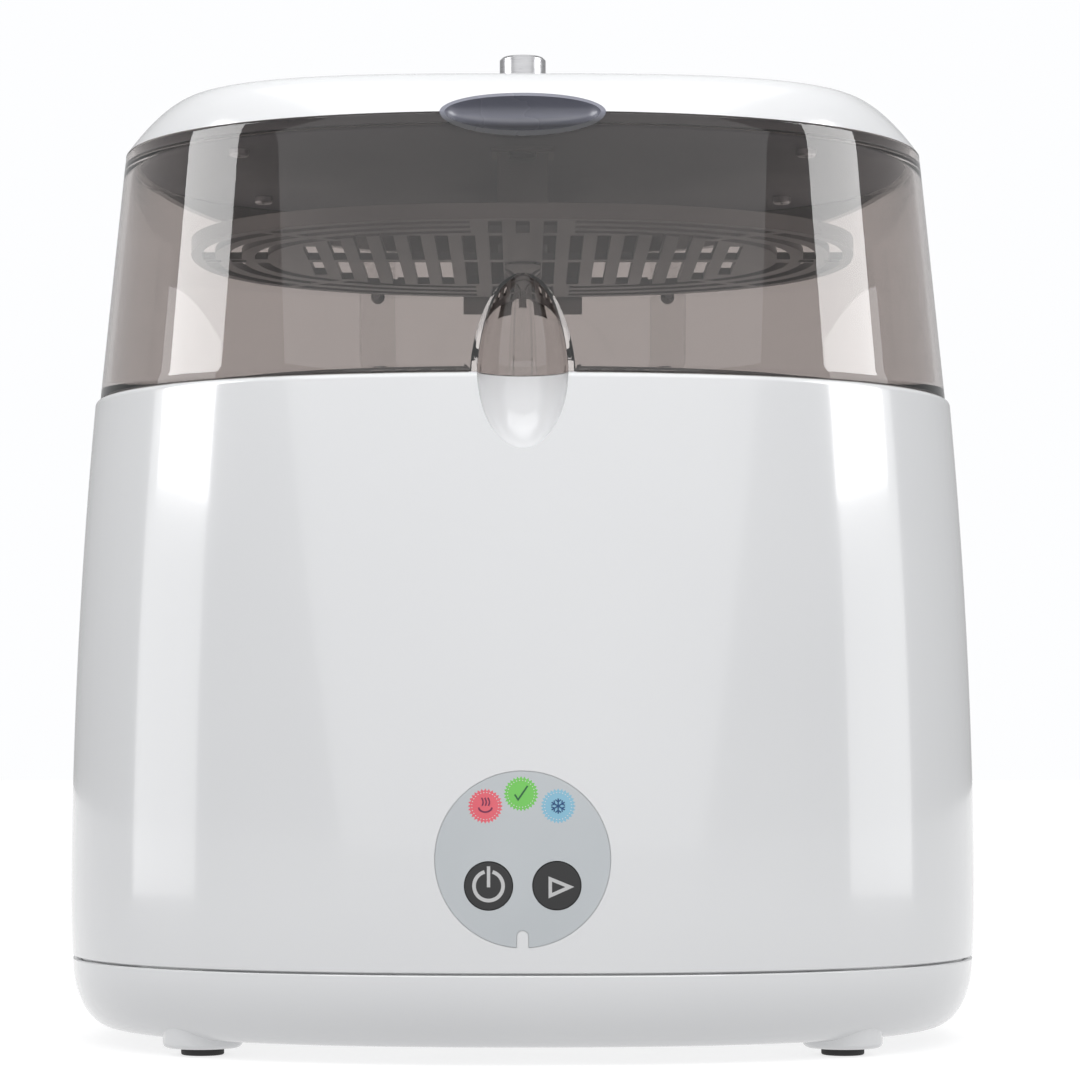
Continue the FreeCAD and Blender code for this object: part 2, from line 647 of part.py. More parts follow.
def bottle_peg(x, y):
    """Four fins on a disc that clips into the rack; a bottle stands over it neck down."""
    top = RACK_Z + RACK_T
    parts = [cyl(18.0, top, top + 2.0, x, y), cyl(4.9, RACK_Z - 1.5, top + 1.0, x, y)]
    for angle in (45.0, 135.0, 225.0, 315.0):
        profile = [Vector(5.0, 0, top + 1.0), Vector(17.5, 0, top + 1.0), Vector(14.5, 0, top + PEG_HEIGHT),
                   Vector(9.5, 0, top + PEG_HEIGHT), Vector(5.0, 0, top + 12.0)]
        fin = Part.Face(Part.makePolygon(profile + profile[:1])).extrude(Vector(0, 2.0, 0))
        fin.translate(Vector(0, -1.0, 0))
        fin.rotate(Vector(0, 0, 0), Vector(0, 0, 1), angle)
        parts.append(shifted(fin, x, y, 0))
    return fuse(parts)


def tray_post():
    """Tapered post from the rack's socket up to the tray's hub."""
    return revolve([(0, RACK_Z + 4.0), (POST_R + 3.0, RACK_Z + 4.0), (POST_R + 3.0, RACK_Z + 18.0),
                    (POST_R, TRAY_Z - 12.0), (POST_R, TRAY_Z), (POST_R - 2.4, TRAY_Z),
                    (POST_R - 2.4, TRAY_Z + 7.0), (POST_R - 3.0, TRAY_Z + 8.0), (0, TRAY_Z + 8.0)])


def ring_slots(inward):
    """One course of slots that runs round the tray, with ribs left between its pieces."""
    low, high = TRAY_Z - 1.0, TRAY_Z + TRAY_T + 1.0
    outer = prism(TRAY_X - inward, TRAY_Y - inward, low, high, TRAY_MID_Y)
    inward += SLOT_W
    inner = prism(TRAY_X - inward, TRAY_Y - inward, low - 1.0, high + 1.0, TRAY_MID_Y)
    course = outer.cut(inner)
    ribs = [box(-19.0, -WIDTH, DRILL[0], 19.0, WIDTH, DRILL[1])]
    ribs.append(box(-WIDTH, TRAY_MID_Y - 4.0, DRILL[0], WIDTH, TRAY_MID_Y + 4.0, DRILL[1]))
    for angle in (34.0, 146.0):
        rib = box(-WIDTH, -1.8, DRILL[0], WIDTH, 1.8, DRILL[1])
        rib.rotate(Vector(0, 0, 0), Vector(0, 0, 1), angle)
        rib.translate(Vector(0, TRAY_MID_Y, 0))
        ribs.append(rib)
    return course.cut(fuse(ribs))


def tray_slot(x, y, wide, long):
    """Square hole through the tray, centred at x and y from the tray's middle."""
    y += TRAY_MID_Y
    return box(x - wide / 2, y - long / 2, TRAY_Z - 1.0, x + wide / 2, y + long / 2, TRAY_Z + TRAY_T + 1.0)


def upper_tray():
    """Plate with a low lip: three courses of slots round it and straight slots in the middle."""
    plate = prism(TRAY_X, TRAY_Y, TRAY_Z, TRAY_Z + TRAY_T, TRAY_MID_Y)
    lip = prism(TRAY_X, TRAY_Y, TRAY_Z, TRAY_Z + TRAY_LIP, TRAY_MID_Y)
    lip = lip.cut(prism(TRAY_X - 2.0, TRAY_Y - 2.0, TRAY_Z - 1.0, TRAY_Z + TRAY_LIP + 1.0, TRAY_MID_Y))
    tray = fuse([plate, lip, cyl(9.5, TRAY_Z, TRAY_Z + 6.0)])
    for inward in (4.0, 14.0, 24.0):
        tray = tray.cut(ring_slots(inward))
    for side in (-1.0, 1.0):
        for i in range(-8, 9):
            reach = 54.0 - max(0, abs(i) - 6) * 12.0
            if i != 0:
                tray = tray.cut(tray_slot(SLOT_PITCH * i, side * (3.0 + reach / 2), SLOT_W, reach))
        for x in (-SLOT_PITCH, 0.0, SLOT_PITCH):
            tray = tray.cut(tray_slot(x, side * 75.0, SLOT_W, 24.0))
        for inward in (4.0, 14.0):
            tray = tray.cut(tray_slot(side * (TRAY_X - inward - 3.5), 0.0, 6.0, SLOT_W))
    return drill(tray, POST_R - 2.2, [(0.0, 0.0)])


# ---- hinges ----
def side_profile(points, x0, x1):
    """Prism along X from corners (y, z)."""
    corners = [Vector(x0, y, z) for y, z in points]
    return Part.Face(Part.makePolygon(corners + corners[:1])).extrude(Vector(x1 - x0, 0, 0))


def hinge_bracket(x):
    """Two lugs on a block that hugs the rear of the body under the rim."""
    half = ARM_W / 2 + GAP + LUG_W
    back = HINGE_Y + KNUCKLE_R
    front = HINGE_Y - KNUCKLE_R
    profile = [(96.0, 194.0), (109.0, 194.0), (back, 204.0), (back, HINGE_Z), (front, HINGE_Z),
               (front, RIM_Z - 0.4), (96.0, RIM_Z - 0.4)]
    block = side_profile(profile, x - half, x + half)
    block = block.fuse(cyl_x(KNUCKLE_R, x - half, x + half, HINGE_Y, HINGE_Z))
    room = ARM_W / 2 + GAP
    block = block.cut(box(x - room, 80.0, RIM_Z - 1.6, x + room, 130.0, 230.0)).cut(BODY_OUTER)
    for away, seat in BRACKET_SCREWS.items():
        hole = cyl_y(SCREW_HOLE_R, REAR_TOOL[0], seat + BRACKET_SCREW_REACH, math.copysign(away, x),
                     BRACKET_SCREW_Z)
        block = block.cut(hole)
    return block.cut(cyl_x(PIN_R, x - 20.0, x + 20.0, HINGE_Y, HINGE_Z))


def bracket_screws():
    screws = []
    for away, seat in BRACKET_SCREWS.items():
        for x in (-away, away):
            screws.append(rear_screw(x, seat - 1.8, BRACKET_SCREW_Z, BRACKET_SCREW_REACH + 1.8))
    return Part.makeCompound(screws)


def hinge_pin(x):
    half = ARM_W / 2 + GAP + LUG_W
    return cyl_x(PIN_R, x - half, x + half, HINGE_Y, HINGE_Z)


def hinge_arm(x):
    """Barrel on the pin and a tapering strap up the rear of the lid."""
    low = x - ARM_W / 2
    high = x + ARM_W / 2
    barrel = cyl_x(KNUCKLE_R, low, high, HINGE_Y, HINGE_Z)
    profile = [(96.0, HINGE_Z - 2.0), (HINGE_Y, HINGE_Z - KNUCKLE_R), (HINGE_Y + KNUCKLE_R, HINGE_Z),
               (HINGE_Y + 1.5, HINGE_Z + 8.0), (108.6, 232.0), (102.8, ARM_TOP_Z - 3.0),
               (100.5, ARM_TOP_Z), (90.0, ARM_TOP_Z)]
    arm = fuse([barrel, side_profile(profile, low, high)]).cut(LID_OUTER)
    arm = arm.cut(box(low - 1.0, 60.0, 200.0, high + 1.0, HINGE_Y - KNUCKLE_R - 0.1, RIM_Z + GAP))
    for z in ARM_SCREW_Z:
        arm = arm.cut(rear_tool(SCREW_HOLE_R, x, z))
        arm = arm.cut(cyl_y(2.6, arm_screw_seat(z), REAR_TOOL[1], x, z))
    return arm.cut(cyl_x(PIN_R + PIN_RUN, low - 1.0, high + 1.0, HINGE_Y, HINGE_Z))


def arm_screw_seat(z):
    """How far back the head of an arm screw sits: the strap leans forward as it rises."""
    return 105.2 - (z - ARM_SCREW_Z[0]) * 0.12


def arm_screws():
    screws = []
    for x in (-HINGE_X, HINGE_X):
        for z in ARM_SCREW_Z:
            screws.append(rear_screw(x, arm_screw_seat(z) + 1.8, z, -7.5))
    return Part.makeCompound(screws)


# ---- lid ----
def pocket_solid(shrink):
    y = -(DEPTH / 2 - lid_inset(POCKET_MID_Z))
    return ellipsoid(POCKET_X - shrink, POCKET_Y - shrink, POCKET_Z - shrink, 0.0, y, POCKET_MID_Z)


def lid_window():
    lid = LID_OUTER.cut(lid_solid(WALL, RIM_Z - 1.0, CEILING_Z))
    lid = lid.fuse(scoop_solid(WALL).common(LID_OUTER)).cut(scoop_solid(0.0))
    lid = drill(lid.cut(pocket_solid(0.0)), VENT_TUBE_R, [(0.0, VENT_Y)])
    lid = drill(lid, 1.8, CAP_SCREWS)
    for x in (-HINGE_X, HINGE_X):
        for z in ARM_SCREW_Z:
            lid = lid.cut(rear_tool(SCREW_HOLE_R, x, z))
    return lid


def cap_rear():
    """Skirt that wraps the rear of the lid and a tongue down to the hinge line."""
    low = skin([(lid_inset(z) - SKIRT_T, z) for z in (TONGUE_Z, CAP_Z)])
    edge = lid_inset(CAP_Z)
    high = skin([(edge - SKIRT_T, CAP_Z), (edge + 4.5, CAP_Z + 5.0)])
    hollow = skin([(lid_inset(z), z) for z in (TONGUE_Z - 1.0, CAP_Z)])
    core = skin([(edge + 1.0, CAP_Z), (edge + 6.0, CAP_Z + 6.0)])
    layer = low.fuse(high).cut(hollow).cut(core)
    rear = REAR_TOOL[1]
    skirt = side_profile([(24.0, CAP_Z), (104.0, SKIRT_Z), (rear, SKIRT_Z), (rear, CAP_Z + 6.0),
                          (24.0, CAP_Z + 6.0)], -WIDTH, WIDTH)
    tongue = box(-TONGUE_X, 60.0, TONGUE_Z, TONGUE_X, rear, CAP_Z)
    return layer.common(skirt.fuse(tongue))


def lid_cap():
    cap = CAP_OUTER.cut(cap_solid(CAP_WALL))
    for x, y in CAP_SCREWS:
        cap = cap.fuse(cyl(4.2, CAP_Z, CAP_Z + 30.0, x, y).common(CAP_OUTER))
        cap = cap.cut(cyl(1.6, CAP_Z - 1.0, CAP_Z + 9.0, x, y))
    cap = cap.fuse(cap_rear()).cut(pocket_solid(0.0))
    return drill(cap, VENT_R - 0.6, [(0.0, VENT_Y)])


def grip_pocket():
    shell = pocket_solid(0.0).cut(pocket_solid(POCKET_WALL))
    return shell.common(LID_OUTER.fuse(CAP_OUTER))


def vent_cap():
    """Metal thimble on top of the cap, open to the duct below, with small holes in its top."""
    top = VENT_TOP_Z
    head = revolve([(0, CAP_Z + CAP_RISE - 3.0), (VENT_R, CAP_Z + CAP_RISE - 3.0), (VENT_R, top - 0.8),
                    (VENT_R - 0.8, top), (0, top)], 0.0, VENT_Y).cut(CAP_OUTER)
    stem = cyl(VENT_R - 0.6, CAP_Z + CAP_RISE - 6.0, top - 3.0, 0.0, VENT_Y)
    cap = fuse([head, stem]).cut(cyl(VENT_TUBE_R, 290.0, top - 2.0, 0.0, VENT_Y))
    holes = [(0.0, VENT_Y)] + [(dx, VENT_Y + dy) for dx, dy in around(3.2, range(0, 360, 60))]
    return drill(cap, 0.9, holes)


def vent_duct():
    """Square duct under the ceiling with a window in its front, and a tube up to the vent."""
    half = DUCT_W / 2
    deep = DUCT_D / 2
    flange_z = CEILING_Z - 1.6
    duct = fuse([box(-half, VENT_Y - deep, DUCT_BOTTOM_Z, half, VENT_Y + deep, CEILING_Z),
                 box(-half - 2.0, VENT_Y - deep - 2.0, flange_z, half + 2.0, VENT_Y + deep + 2.0, CEILING_Z),
                 cyl(VENT_TUBE_R, CEILING_Z - 1.0, VENT_TOP_Z - 6.0, 0.0, VENT_Y)])
    hollow = fuse([box(-half + DUCT_WALL, VENT_Y - deep + DUCT_WALL, DUCT_BOTTOM_Z - 1.0,
                       half - DUCT_WALL, VENT_Y + deep - DUCT_WALL, flange_z),
                   cyl(VENT_TUBE_R - 1.4, CEILING_Z - 3.0, VENT_TOP_Z, 0.0, VENT_Y)])
    window = box(-4.3, VENT_Y - deep - 3.0, 285.0, 4.3, VENT_Y, flange_z)
    return duct.cut(hollow).cut(window)


def vent_seal():
    return ring(VENT_TUBE_R + 3.4, VENT_TUBE_R, CAP_Z, CAP_Z + 2.0, 0.0, VENT_Y)


def cap_screws():
    return Part.makeCompound([pan_screw(x, y, CEILING_Z - 2.2, 10.5, 1.6, 3.2) for x, y in CAP_SCREWS])


# ---- the whole object ----
def build_nodes():
    nodes = {"base_pan": base_pan(), "base_screws": base_screws(), "body_shell": body_shell(),
             "panel_overlay": panel_overlay(), "control_board": control_board(),
             "indicator_leds": indicator_leds(), "tact_switches": tact_switches(),
             "board_screws": board_screws(), "cord_gland": cord_gland(), "power_board": power_board(),
             "relay": relay(),
             "transformer": transformer(), "terminal_block": terminal_block(),
             "power_board_screws": power_board_screws(), "inner_tub": inner_tub(),
             "heating_plate": heating_plate(), "plate_seal": plate_seal(),
             "plate_clamp_ring": plate_clamp_ring(), "plate_nuts": plate_nuts(),
             "heating_element": heating_element(), "thermostat": thermostat(),
             "thermal_fuse": thermal_fuse(), "bottle_rack": bottle_rack(), "tray_post": tray_post(),
             "upper_tray": upper_tray(),
             "bracket_screws": bracket_screws(), "arm_screws": arm_screws(), "lid_window": lid_window(),
             "lid_cap": lid_cap(), "grip_pocket": grip_pocket(), "vent_cap": vent_cap(),
             "vent_duct": vent_duct(), "vent_seal": vent_seal(), "cap_screws": cap_screws()}
    for name, place in zip(FOOT_NAMES, FOOT_PLACES):
        nodes[name] = foot_pad(*place)
    for name, place in LENS_PLACES.items():
        nodes[name] = lens(*place)
    for name, place in BUTTON_PLACES.items():
        nodes[name] = button(*place)
    for name, place in BOTTLE_PLACES.items():
        nodes[name] = bottle_peg(*place)
    for side, x in (("left", -HINGE_X), ("right", HINGE_X)):
        nodes["hinge_bracket_" + side] = hinge_bracket(x)
        nodes["hinge_pin_" + side] = hinge_pin(x)
        nodes["hinge_arm_" + side] = hinge_arm(x)
    return nodes


os.makedirs("parts", exist_ok=True)
for name, shape in build_nodes().items():
    solids = shape.Solids
    whole = solids[0] if len(solids) == 1 else Part.makeCompound(solids)
    whole.exportStep("parts/" + name + ".step")
    print(name, len(solids), whole.isValid(), round(whole.Volume))
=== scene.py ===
import bmesh
import bpy
import json
import math
from mathutils import Matrix, Vector


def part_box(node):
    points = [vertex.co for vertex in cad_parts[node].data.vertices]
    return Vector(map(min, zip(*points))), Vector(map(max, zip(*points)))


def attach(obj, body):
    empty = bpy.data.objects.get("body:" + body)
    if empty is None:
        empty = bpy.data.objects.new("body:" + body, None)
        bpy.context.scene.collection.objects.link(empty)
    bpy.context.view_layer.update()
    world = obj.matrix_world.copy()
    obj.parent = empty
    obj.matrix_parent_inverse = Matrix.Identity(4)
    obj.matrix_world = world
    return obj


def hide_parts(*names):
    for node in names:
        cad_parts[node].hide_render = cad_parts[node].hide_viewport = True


# Looks of a baby bottle sterilizer: glossy white body and cap, smoked lid, control panel with
# lamps and keys, metal vent. Shapes are worked out in millimetres in the frame of the CAD model.

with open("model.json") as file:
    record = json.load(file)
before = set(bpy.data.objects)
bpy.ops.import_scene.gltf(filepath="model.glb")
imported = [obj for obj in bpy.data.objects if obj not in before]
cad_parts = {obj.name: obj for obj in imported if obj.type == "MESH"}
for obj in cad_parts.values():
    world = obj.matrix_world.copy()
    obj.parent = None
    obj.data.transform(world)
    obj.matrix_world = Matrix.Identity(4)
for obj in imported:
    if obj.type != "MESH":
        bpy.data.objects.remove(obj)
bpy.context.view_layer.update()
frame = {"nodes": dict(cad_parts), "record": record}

MM = 0.001


def span(node):
    """Lowest and highest corner of a CAD node in millimetres."""
    low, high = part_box(node)
    return low / MM, high / MM


# ---- driving sizes, in millimetres ----
HALF_X = round(span("body_shell")[1].x)        # widest half axes of the oval plan
HALF_Y = round(span("body_shell")[1].y)
POWER = 2.3                                    # superellipse power of the plan
COLUMNS = 256
WALL = 2.6
GAP = 0.3
FOOT_Z = span("base_pan")[0].z                 # underside of the foot bosses
PAN_Z = 5.0
SEAM_Z = 27.5
BODY_Z = span("body_shell")[0].z               # lower edge of the body, just over the seam
RIM_Z = span("body_shell")[1].z
BELLY_Z = 50.0                                 # the widest height
UPPER_BARREL_R = 1907.0                        # radius of the side profile over the belly
LOWER_BARREL_R = 345.0                         # and under it
PAN_CURVE = 13.0                               # how far the pan curves inward down to its underside
PAN_LIP = 4.0                                  # how far its inner lip reaches over and under the seam
PAN_LIP_T = 1.8
RIM_ROUND = 1.8
MOUTH_ROUND = 0.6
MOUTH_X = 122.5
MOUTH_Y = 89.0
FLANGE_T = 2.6
LID_Z = span("lid_window")[0].z
LID_TOP = span("lid_window")[1].z
LID_INSET = 8.2                                # how far the lid's foot stands inside the widest outline
LID_TAPER = math.tan(math.radians(5.5))
LID_ROUND = 0.8                                # upper edge outside
CEILING_FILLET = 2.0                           # and inside
CEILING_T = 3.0
CEILING_GAP = 0.05                             # seam between the lid's wall and its ceiling plate
CAP_Z = LID_TOP + 0.05
CAP_RISE = 15.8
CAP_DOME = 1.9
CAP_SHOULDER = 21.0
CAP_IN_POWER = 1.3
CAP_UP_POWER = 2.0
CAP_PLAN_POWER = 3.1
CAP_WALL = 2.2
SKIRT_T = 2.2
SKIRT_Z = 277.5
TONGUE_X = 22.0
TONGUE_Z = 256.0
SCOOP_R = 14.0
SCOOP_Y = -110.5
SCOOP_UP = 31.5
SCOOP_DOWN = 24.0
SCOOP_POINT = 1.15                             # power that draws the upper end to a point
SCOOP_BACKING = 1.5
PANEL_R = 26.5
PANEL_Z = 62.5
PANEL_T = 0.6
KEY_HALF_W = 1.7                               # key that stands in a notch at the bottom of the panel
KEY_RISE = 3.3
FRONT_TOOL = (-130.0, -100.0)                  # depths that a tool through the front wall spans
REAR_TOOL = (90.0, 125.0)                      # and one through the rear wall
SMALL_SCREW_R = 1.4
LENS_R = 5.3
LENS_TEETH = 28
PRINT_T = 0.06
BUTTON_R = 7.15
LAMPS = {"steam": (-11.3, 16.0), "ready": (-0.5, 19.7), "cooling": (10.7, 16.0)}
KEYS = {"power": (-10.3, -8.0), "start": (10.3, -7.9)}
BOARD_Y = -103.5
BOARD_POSTS = [(-22.0, -21.0), (22.0, -21.0), (-23.0, 17.0), (23.0, 17.0)]
BASE_SCREWS = [(-108.0, -46.0), (108.0, -46.0), (-108.0, 46.0), (108.0, 46.0)]
FOOT_PLACES = [(-100.5, -71.0), (100.5, -71.0), (-100.5, 71.0), (100.5, 71.0)]
FOOT_BOSS_R = 12.5
FOOT_BOSS_ROUND = 1.6
VENT_SLOTS = 7                                 # cooling slots in the underside, at this pitch
VENT_SLOT_PITCH = 8.0
VENT_SLOT_Y = 40.0
POWER_POSTS = [(-38.0, -22.0), (38.0, -22.0), (-38.0, 22.0), (38.0, 22.0)]
POWER_BOARD_Z = 14.0
CAP_SCREWS = [(-92.0, -48.0), (92.0, -48.0), (-92.0, 48.0), (92.0, 48.0)]
HINGE_X = 54.0
ARM_SCREW_Z = [236.0, 262.0]
BRACKET_SCREW_X = [-60.0, -48.0, 48.0, 60.0]
BRACKET_SCREW_Z = 201.0
GLAND_PLACE = (-60.0, 44.0)
GLAND_HALF = 5.4
VENT_Y = -46.0
VENT_R = 7.5
VENT_TUBE_R = 5.6
TRAY_SHARE = 0.875                             # width of the tray's skin over that of its CAD node
POCKET = (26.0, 11.0, 8.2)                     # half axes of the grip pocket
POCKET_MID_Z = 293.6

# ---- stage and light levels ----
FLOOR_HALF = 9000
FLOOR_T = 40.0
GROUND_LEVEL = 0.69                            # bounced light from below
SKY_LEVEL = 0.50                               # bounced light from the horizon
SKY_RISE = 1.0                                 # how much more there is overhead
ROOM_LEVEL = 0.5                               # what glossy surfaces mirror between the lights
LIT_THROUGH = 0.85                             # power of the tint that bounced light meets at each face


# ---- outlines ----
def signed(value, exponent):
    return math.copysign(abs(value) ** exponent, value)


def oval(half_x, half_y, z, power=POWER):
    """Ring of points on the plan's superellipse."""
    ring = []
    for i in range(COLUMNS):
        t = 2 * math.pi * i / COLUMNS
        ring.append((half_x * signed(math.cos(t), 2 / power), half_y * signed(math.sin(t), 2 / power), z))
    return ring


def inside(inset, z):
    return oval(HALF_X - inset, HALF_Y - inset, z)


def body_inset(z):
    radius = UPPER_BARREL_R if z > BELLY_Z else LOWER_BARREL_R
    return (z - BELLY_Z) ** 2 / (2 * radius)


def lid_inset(z):
    return LID_INSET + LID_TAPER * (z - RIM_Z)


def steps(start, end, count):
    return [start + (end - start) * i / count for i in range(count + 1)]


def angles(start, end, count):
    """Steps between two angles given in degrees, in radians."""
    return [math.radians(a) for a in steps(start, end, count)]


def disc_rings(half_x, half_y, z):
    """Rings that shrink from an edge to a middle point, and the point."""
    return [oval(half_x * s, half_y * s, z) for s in (0.75, 0.5, 0.25, 0.08)] + [[(0.0, 0.0, z)]]


# ---- meshes ----
def solid(name, rings, closed=False):
    """Mesh through rings of points. A ring of one point is a pole; closed joins the last to the first."""
    mesh = bmesh.new()
    rows = [[mesh.verts.new([c * MM for c in p]) for p in ring] for ring in rings]
    pairs = list(zip(rows, rows[1:])) + ([(rows[-1], rows[0])] if closed else [])
    for a, b in pairs:
        n = max(len(a), len(b))
        if n == 1:
            continue
        for i in range(n):
            j = (i + 1) % n
            if len(a) == 1:
                mesh.faces.new((a[0], b[j], b[i]))
            elif len(b) == 1:
                mesh.faces.new((a[i], a[j], b[0]))
            else:
                mesh.faces.new((a[i], a[j], b[j], b[i]))
    if not closed:
        for row in (rows[0], rows[-1]):
            if len(row) > 1:
                mesh.faces.new(row)
    bmesh.ops.recalc_face_normals(mesh, faces=mesh.faces)
    data = bpy.data.meshes.new(name)
    mesh.to_mesh(data)
    mesh.free()
    piece = bpy.data.objects.new(name, data)
    bpy.context.scene.collection.objects.link(piece)
    return piece


def circle(r, count, place):
    """Ring of count points; place maps (across, up) to a point."""
    return [place(r * math.cos(2 * math.pi * i / count), r * math.sin(2 * math.pi * i / count))
            for i in range(count)]


def upright(profile, x=0.0, y=0.0, count=64):
    """Solid of revolution about a vertical line, from (radius, z) pairs."""
    rings = []
    for r, z in profile:
        if r < 1e-6:
            rings.append([(x, y, z)])
        else:
            rings.append(circle(r, count, lambda u, v, z=z: (x + u, y + v, z)))
    return solid("tool", rings)


def along_y(profile, x, z, count=64):
    """Solid of revolution about a line that runs front to rear, from (radius, y) pairs."""
    rings = []
    for r, y in profile:
        if r < 1e-6:
            rings.append([(x, y, z)])
        else:
            rings.append(circle(r, count, lambda u, v, y=y: (x + u, y, z + v)))
    return solid("tool", rings)


def pin(r, z0, z1, x, y, count=48):
    return upright([(r, z0), (r, z1)], x, y, count)


def pin_y(r, y0, y1, x, z, count=48):
    return along_y([(r, y0), (r, y1)], x, z, count)


def block(x0, y0, z0, x1, y1, z1):
    corners = [(x0, y0), (x1, y0), (x1, y1), (x0, y1)]
    return solid("tool", [[(x, y, z0) for x, y in corners], [(x, y, z1) for x, y in corners]])


def slot_tool(x, y, half_x, half_y, z0, z1):
    """Upright slot with round ends, longer along Y."""
    ring = []
    for i in range(32):
        a = 2 * math.pi * i / 32
        ring.append((x + half_x * math.cos(a),
                     y + half_x * math.sin(a) + math.copysign(half_y - half_x, math.sin(a) + 1e-9)))
    return solid("tool", [[(px, py, z0) for px, py in ring], [(px, py, z1) for px, py in ring]])


def side_prism(points, x0, x1):
    """Prism along X from (y, z) corners."""
    return solid("tool", [[(x0, y, z) for y, z in points], [(x1, y, z) for y, z in points]])


def moved(piece, dx, dy, dz):
    piece.data.transform(Matrix.Translation((dx * MM, dy * MM, dz * MM)))
    return piece


def combine(piece, how, *tools):
    """Applies booleans one after another and removes the tools."""
    for tool in tools:
        cut = piece.modifiers.new("cut", "BOOLEAN")
        cut.operation = how
        cut.solver = "MANIFOLD"
        cut.object = tool
        bpy.context.view_layer.update()
        result = bpy.data.meshes.new_from_object(piece.evaluated_get(bpy.context.evaluated_depsgraph_get()))
        piece.modifiers.clear()
        piece.data = result
        bpy.data.objects.remove(tool)
    return piece


def group(tools):
    """Several solids that don't touch, as one tool."""
    mesh = bmesh.new()
    for tool in tools:
        mesh.from_mesh(tool.data)
        bpy.data.objects.remove(tool)
    data = bpy.data.meshes.new("tool")
    mesh.to_mesh(data)
    mesh.free()
    piece = bpy.data.objects.new("tool", data)
    bpy.context.scene.collection.objects.link(piece)
    return piece


def finish(piece, name, body, look, replaces=(), sharp=32.0):
    """Names a piece, smooths it, gives it its look and puts it on its body."""
    piece.name = name
    piece.data.name = name
    mesh = piece.data
    mesh.shade_smooth()
    mesh.set_sharp_from_angle(angle=math.radians(sharp))
    mesh.materials.clear()
    mesh.materials.append(MATERIALS[look])
    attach(piece, body)
    if replaces:
        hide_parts(*replaces)
    return piece


# ---- materials ----
def new_material(name):
    material = bpy.data.materials.new("look_" + name)
    material.use_nodes = True
    tree = material.node_tree
    tree.nodes.clear()
    output = tree.nodes.new("ShaderNodeOutputMaterial")
    shader = tree.nodes.new("ShaderNodeBsdfPrincipled")
    tree.links.new(shader.outputs["BSDF"], output.inputs["Surface"])
    return material, tree, shader, output


def noise(tree, scale, detail=3.0, stretch=(1.0, 1.0, 1.0)):
    """Noise over the piece's own coordinates, with scale in features per metre."""
    coordinates = tree.nodes.new("ShaderNodeTexCoord")
    mapping = tree.nodes.new("ShaderNodeMapping")
    mapping.inputs["Scale"].default_value = stretch
    texture = tree.nodes.new("ShaderNodeTexNoise")
    texture.inputs["Scale"].default_value = scale
    texture.inputs["Detail"].default_value = detail
    tree.links.new(coordinates.outputs["Object"], mapping.inputs["Vector"])
    tree.links.new(mapping.outputs["Vector"], texture.inputs["Vector"])
    return texture.outputs["Fac"]


def ramp(tree, factor, low, high, start=0.35, end=0.65):
    """Colour ramp between two colours."""
    node = tree.nodes.new("ShaderNodeValToRGB")
    node.color_ramp.elements[0].position = start
    node.color_ramp.elements[1].position = end
    node.color_ramp.elements[0].color = (*low, 1.0)
    node.color_ramp.elements[1].color = (*high, 1.0)
    tree.links.new(factor, node.inputs["Fac"])
    return node.outputs["Color"]


def levels(tree, factor, low, high):
    node = tree.nodes.new("ShaderNodeMapRange")
    node.inputs["To Min"].default_value = low
    node.inputs["To Max"].default_value = high
    tree.links.new(factor, node.inputs["Value"])
    return node.outputs["Result"]


def bump(tree, shader, height, strength, depth):
    node = tree.nodes.new("ShaderNodeBump")
    node.inputs["Strength"].default_value = strength
    node.inputs["Distance"].default_value = depth * MM
    tree.links.new(height, node.inputs["Height"])
    tree.links.new(node.outputs["Normal"], shader.inputs["Normal"])


def moulded(name, low, high, rough, grain=900.0, depth=0.02, patch=18.0, **sockets):
    """Moulded plastic, rubber or metal: slow colour drift, uneven gloss and a fine surface grain."""
    material, tree, shader, output = new_material(name)
    tree.links.new(ramp(tree, noise(tree, patch, 2.0), low, high), shader.inputs["Base Color"])
    tree.links.new(levels(tree, noise(tree, patch * 3, 4.0), *rough), shader.inputs["Roughness"])
    bump(tree, shader, noise(tree, grain, 2.0), 0.35, depth)
    for socket, value in sockets.items():
        shader.inputs[socket.replace("_", " ")].default_value = value
    return material


def brushed(name, low, high, rough, stretch, grain, depth=0.01):
    """Metal drawn or brushed along one direction."""
    material, tree, shader, output = new_material(name)
    lines = noise(tree, grain, 5.0, stretch)
    tree.links.new(ramp(tree, lines, low, high, 0.2, 0.8), shader.inputs["Base Color"])
    tree.links.new(levels(tree, lines, *rough), shader.inputs["Roughness"])
    bump(tree, shader, lines, 0.3, depth)
    shader.inputs["Metallic"].default_value = 1.0
    return material


